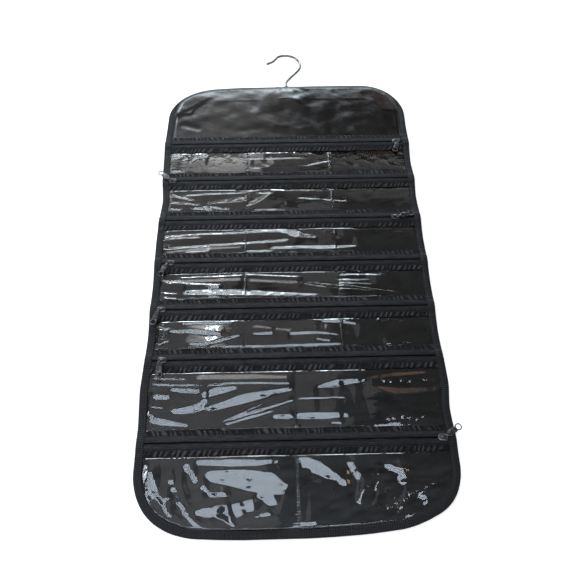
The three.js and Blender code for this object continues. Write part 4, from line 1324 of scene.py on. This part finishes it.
def hook():
    """A wire carried up its stem, out to the right and round the crook to an outward-bent tip, with a round
    end, and a collar at the foot of the stem that keeps it in the hanger's boss."""
    arc = np.radians(np.arange(-40, 121, 16))
    points = [(0, -STEM_FOOT), (0, -18), (0, 0), (0, 5), (8, 17.5)]
    points += [(22.5 * math.cos(a), 44 + 22.5 * math.sin(a)) for a in arc]
    points += [(-19, 53.5), (-27.7, 48)]
    wire = through(np.array([(x, TOP + y, HOOK_Z) for x, y in points], float))
    ahead = unit(wire[-1] - wire[-2])
    cap = np.array([0.75, 1.3, 1.6, 1.75])
    wire = np.concatenate([wire, wire[-1] + cap[:, None] * ahead])
    tip = np.sqrt(np.maximum(WIRE_RADIUS**2 - cap**2, 0.02))
    radius = np.concatenate([np.full(len(wire) - len(cap), WIRE_RADIUS), tip])
    head = np.linspace(0, 1, 7)[:, None] * [0, 2.0, 0] + [0, TOP - STEM_FOOT, HOOK_Z]
    collar = 2.6 - 0.5 * np.abs(np.linspace(-1, 1, 7)) ** 4
    return [tube(wire, radius, 20), tube(head, collar, 24)]


make("wire_hook", hook(), WIRE, "hook", ["hook"])


# Floor, light and camera

FLOOR_GLOW = 0.60  # the floor's own share of its white


def pale_floor():
    """A white floor that keeps a soft shadow: part of its white is its own, the rest is the light on it."""
    f = Finish("pale_floor", (0.82, 0.82, 0.82), 0.9)
    ray = f.node("ShaderNodeLightPath").outputs
    mirrored = f.maths("MAXIMUM", ray["Is Glossy Ray"], ray["Is Transmission Ray"])
    seen = f.maths("MAXIMUM", ray["Is Camera Ray"], mirrored)
    f.set({"Specular IOR Level": 0.1, "Emission Color": (1, 1, 1, 1)})
    f.tree.links.new(f.maths("MULTIPLY", seen, FLOOR_GLOW), f.shader.inputs["Emission Strength"])
    return f.material


def floor():
    """A square of floor just under the panel, turned up all round into a low wall."""
    mesh = bpy.data.meshes.new("floor")
    reach, level, rim = 6.0, -0.0004, 1.7
    corners = [(-reach, -reach), (reach, -reach), (reach, reach), (-reach, reach)]
    points = [(x, y, level) for x, y in corners] + [(x, y, rim) for x, y in corners]
    walls = [(b, a, a + 4, b + 4) for a, b in ((0, 1), (1, 2), (2, 3), (3, 0))]
    mesh.from_pydata(points, [], [(0, 1, 2, 3)] + walls)
    mesh.materials.append(pale_floor())
    put("floor", mesh)


floor()


def lamp(name, at, size, radiance, colour, towards=None):
    """A rectangular lamp that glows evenly with the given brightness, facing a point or straight down."""
    data = bpy.data.lights.new(name, "AREA")
    data.shape = "RECTANGLE"
    data.size, data.size_y = size
    data.energy = radiance * math.pi * size[0] * size[1]
    data.color = colour
    back_way = unit(np.subtract(at, towards)) if towards else np.array(OUTWARD)
    side = unit(np.cross(OUTWARD if towards else UPWARD, back_way))
    up = np.cross(back_way, side)
    rows = [[side[i], up[i], back_way[i], at[i]] for i in range(3)]
    put(name, data).matrix_world = Matrix(rows + [[0, 0, 0, 1]])


MIDDLE = (0.0, 0.0, 0.0)
PANEL_LEFT = (-0.1, 0.0, 0.0)
lamp("low_window", (-0.45, 1.60, 0.90), (1.62, 0.36), 8.5, (0.80, 0.92, 1.0), PANEL_LEFT)
lamp("low_window_end", (0.32, 1.60, 0.62), (0.50, 0.36), 4.6, (0.80, 0.93, 1.0), PANEL_LEFT)
lamp("high_window", (-0.13, -0.27, 1.30), (0.98, 0.32), 5.4, (0.77, 0.88, 1.0))
lamp("high_window_end", (-0.96, -0.27, 1.30), (0.68, 0.32), 4.4, (0.77, 0.88, 1.0))
lamp("pale_wall", (-0.44, 1.68, 1.20), (1.12, 0.64), 1.25, (1.0, 0.99, 1.0))
lamp("near_wall", (-0.53, 1.19, 1.20), (0.94, 0.34), 0.82, (1.0, 0.99, 0.99))
lamp("near_wall_end", (0.38, 1.23, 1.20), (0.84, 0.37), 0.09, (1.0, 0.97, 0.94))
lamp("ceiling", (-0.40, 0.635, 1.25), (1.2, 0.77), 0.36, (1.0, 0.96, 0.97))
lamp("ceiling_near", (-0.62, 0.09, 1.25), (0.96, 0.32), 0.4, (1.0, 0.97, 0.97))
lamp("ceiling_end", (0.55, 0.68, 1.25), (0.7, 0.66), 0.05, (1.0, 0.98, 0.96))
lamp("side_window", (-1.7, 0.1, 0.75), (1.2, 0.7), 4.2, (0.92, 0.97, 1.0), MIDDLE)
lamp("warm_lamp", (0.9, 0.0, 1.2), (0.22, 0.22), 4.5, (1.0, 0.58, 0.28), MIDDLE)
lamp("warm_wall", (0.52, 1.57, 1.20), (0.42, 0.42), 0.34, (1.0, 0.53, 0.36))
lamp("fill", (0.2, -2.0, 1.6), (2.0, 1.0), 1.2, (1.0, 0.97, 0.94), MIDDLE)

world = bpy.data.worlds.new("studio")
bpy.context.scene.world = world
world.use_nodes = True
world.node_tree.nodes["Background"].inputs["Color"].default_value = (1, 1, 1, 1)
world.node_tree.nodes["Background"].inputs["Strength"].default_value = 0.07


def camera():
    """A camera above the foot of the panel, looking down at it along its length."""
    pitch, yaw, roll = (math.radians(a) for a in (58.379, 1.754, 0.4546))
    fwd = np.array([math.sin(yaw) * math.cos(pitch), math.cos(yaw) * math.cos(pitch), -math.sin(pitch)])
    right = np.array([math.cos(yaw), -math.sin(yaw), 0])
    up = np.cross(right, fwd)
    x = math.cos(roll) * right + math.sin(roll) * up
    y = -math.sin(roll) * right + math.cos(roll) * up
    data = bpy.data.cameras.new("camera")
    data.sensor_fit = "HORIZONTAL"
    data.sensor_width = 36
    focal, picture = 665, 580  # in the picture's pixels
    data.lens = focal / picture * data.sensor_width
    data.clip_start, data.clip_end = 0.02, 50
    at = (-0.01566, -0.46109, 0.69452)
    obj = put("camera", data)
    obj.matrix_world = Matrix([[x[i], y[i], -fwd[i], at[i]] for i in range(3)] + [[0, 0, 0, 1]])
    bpy.context.scene.camera = obj


camera()
bpy.context.scene.view_settings.view_transform = "Standard"
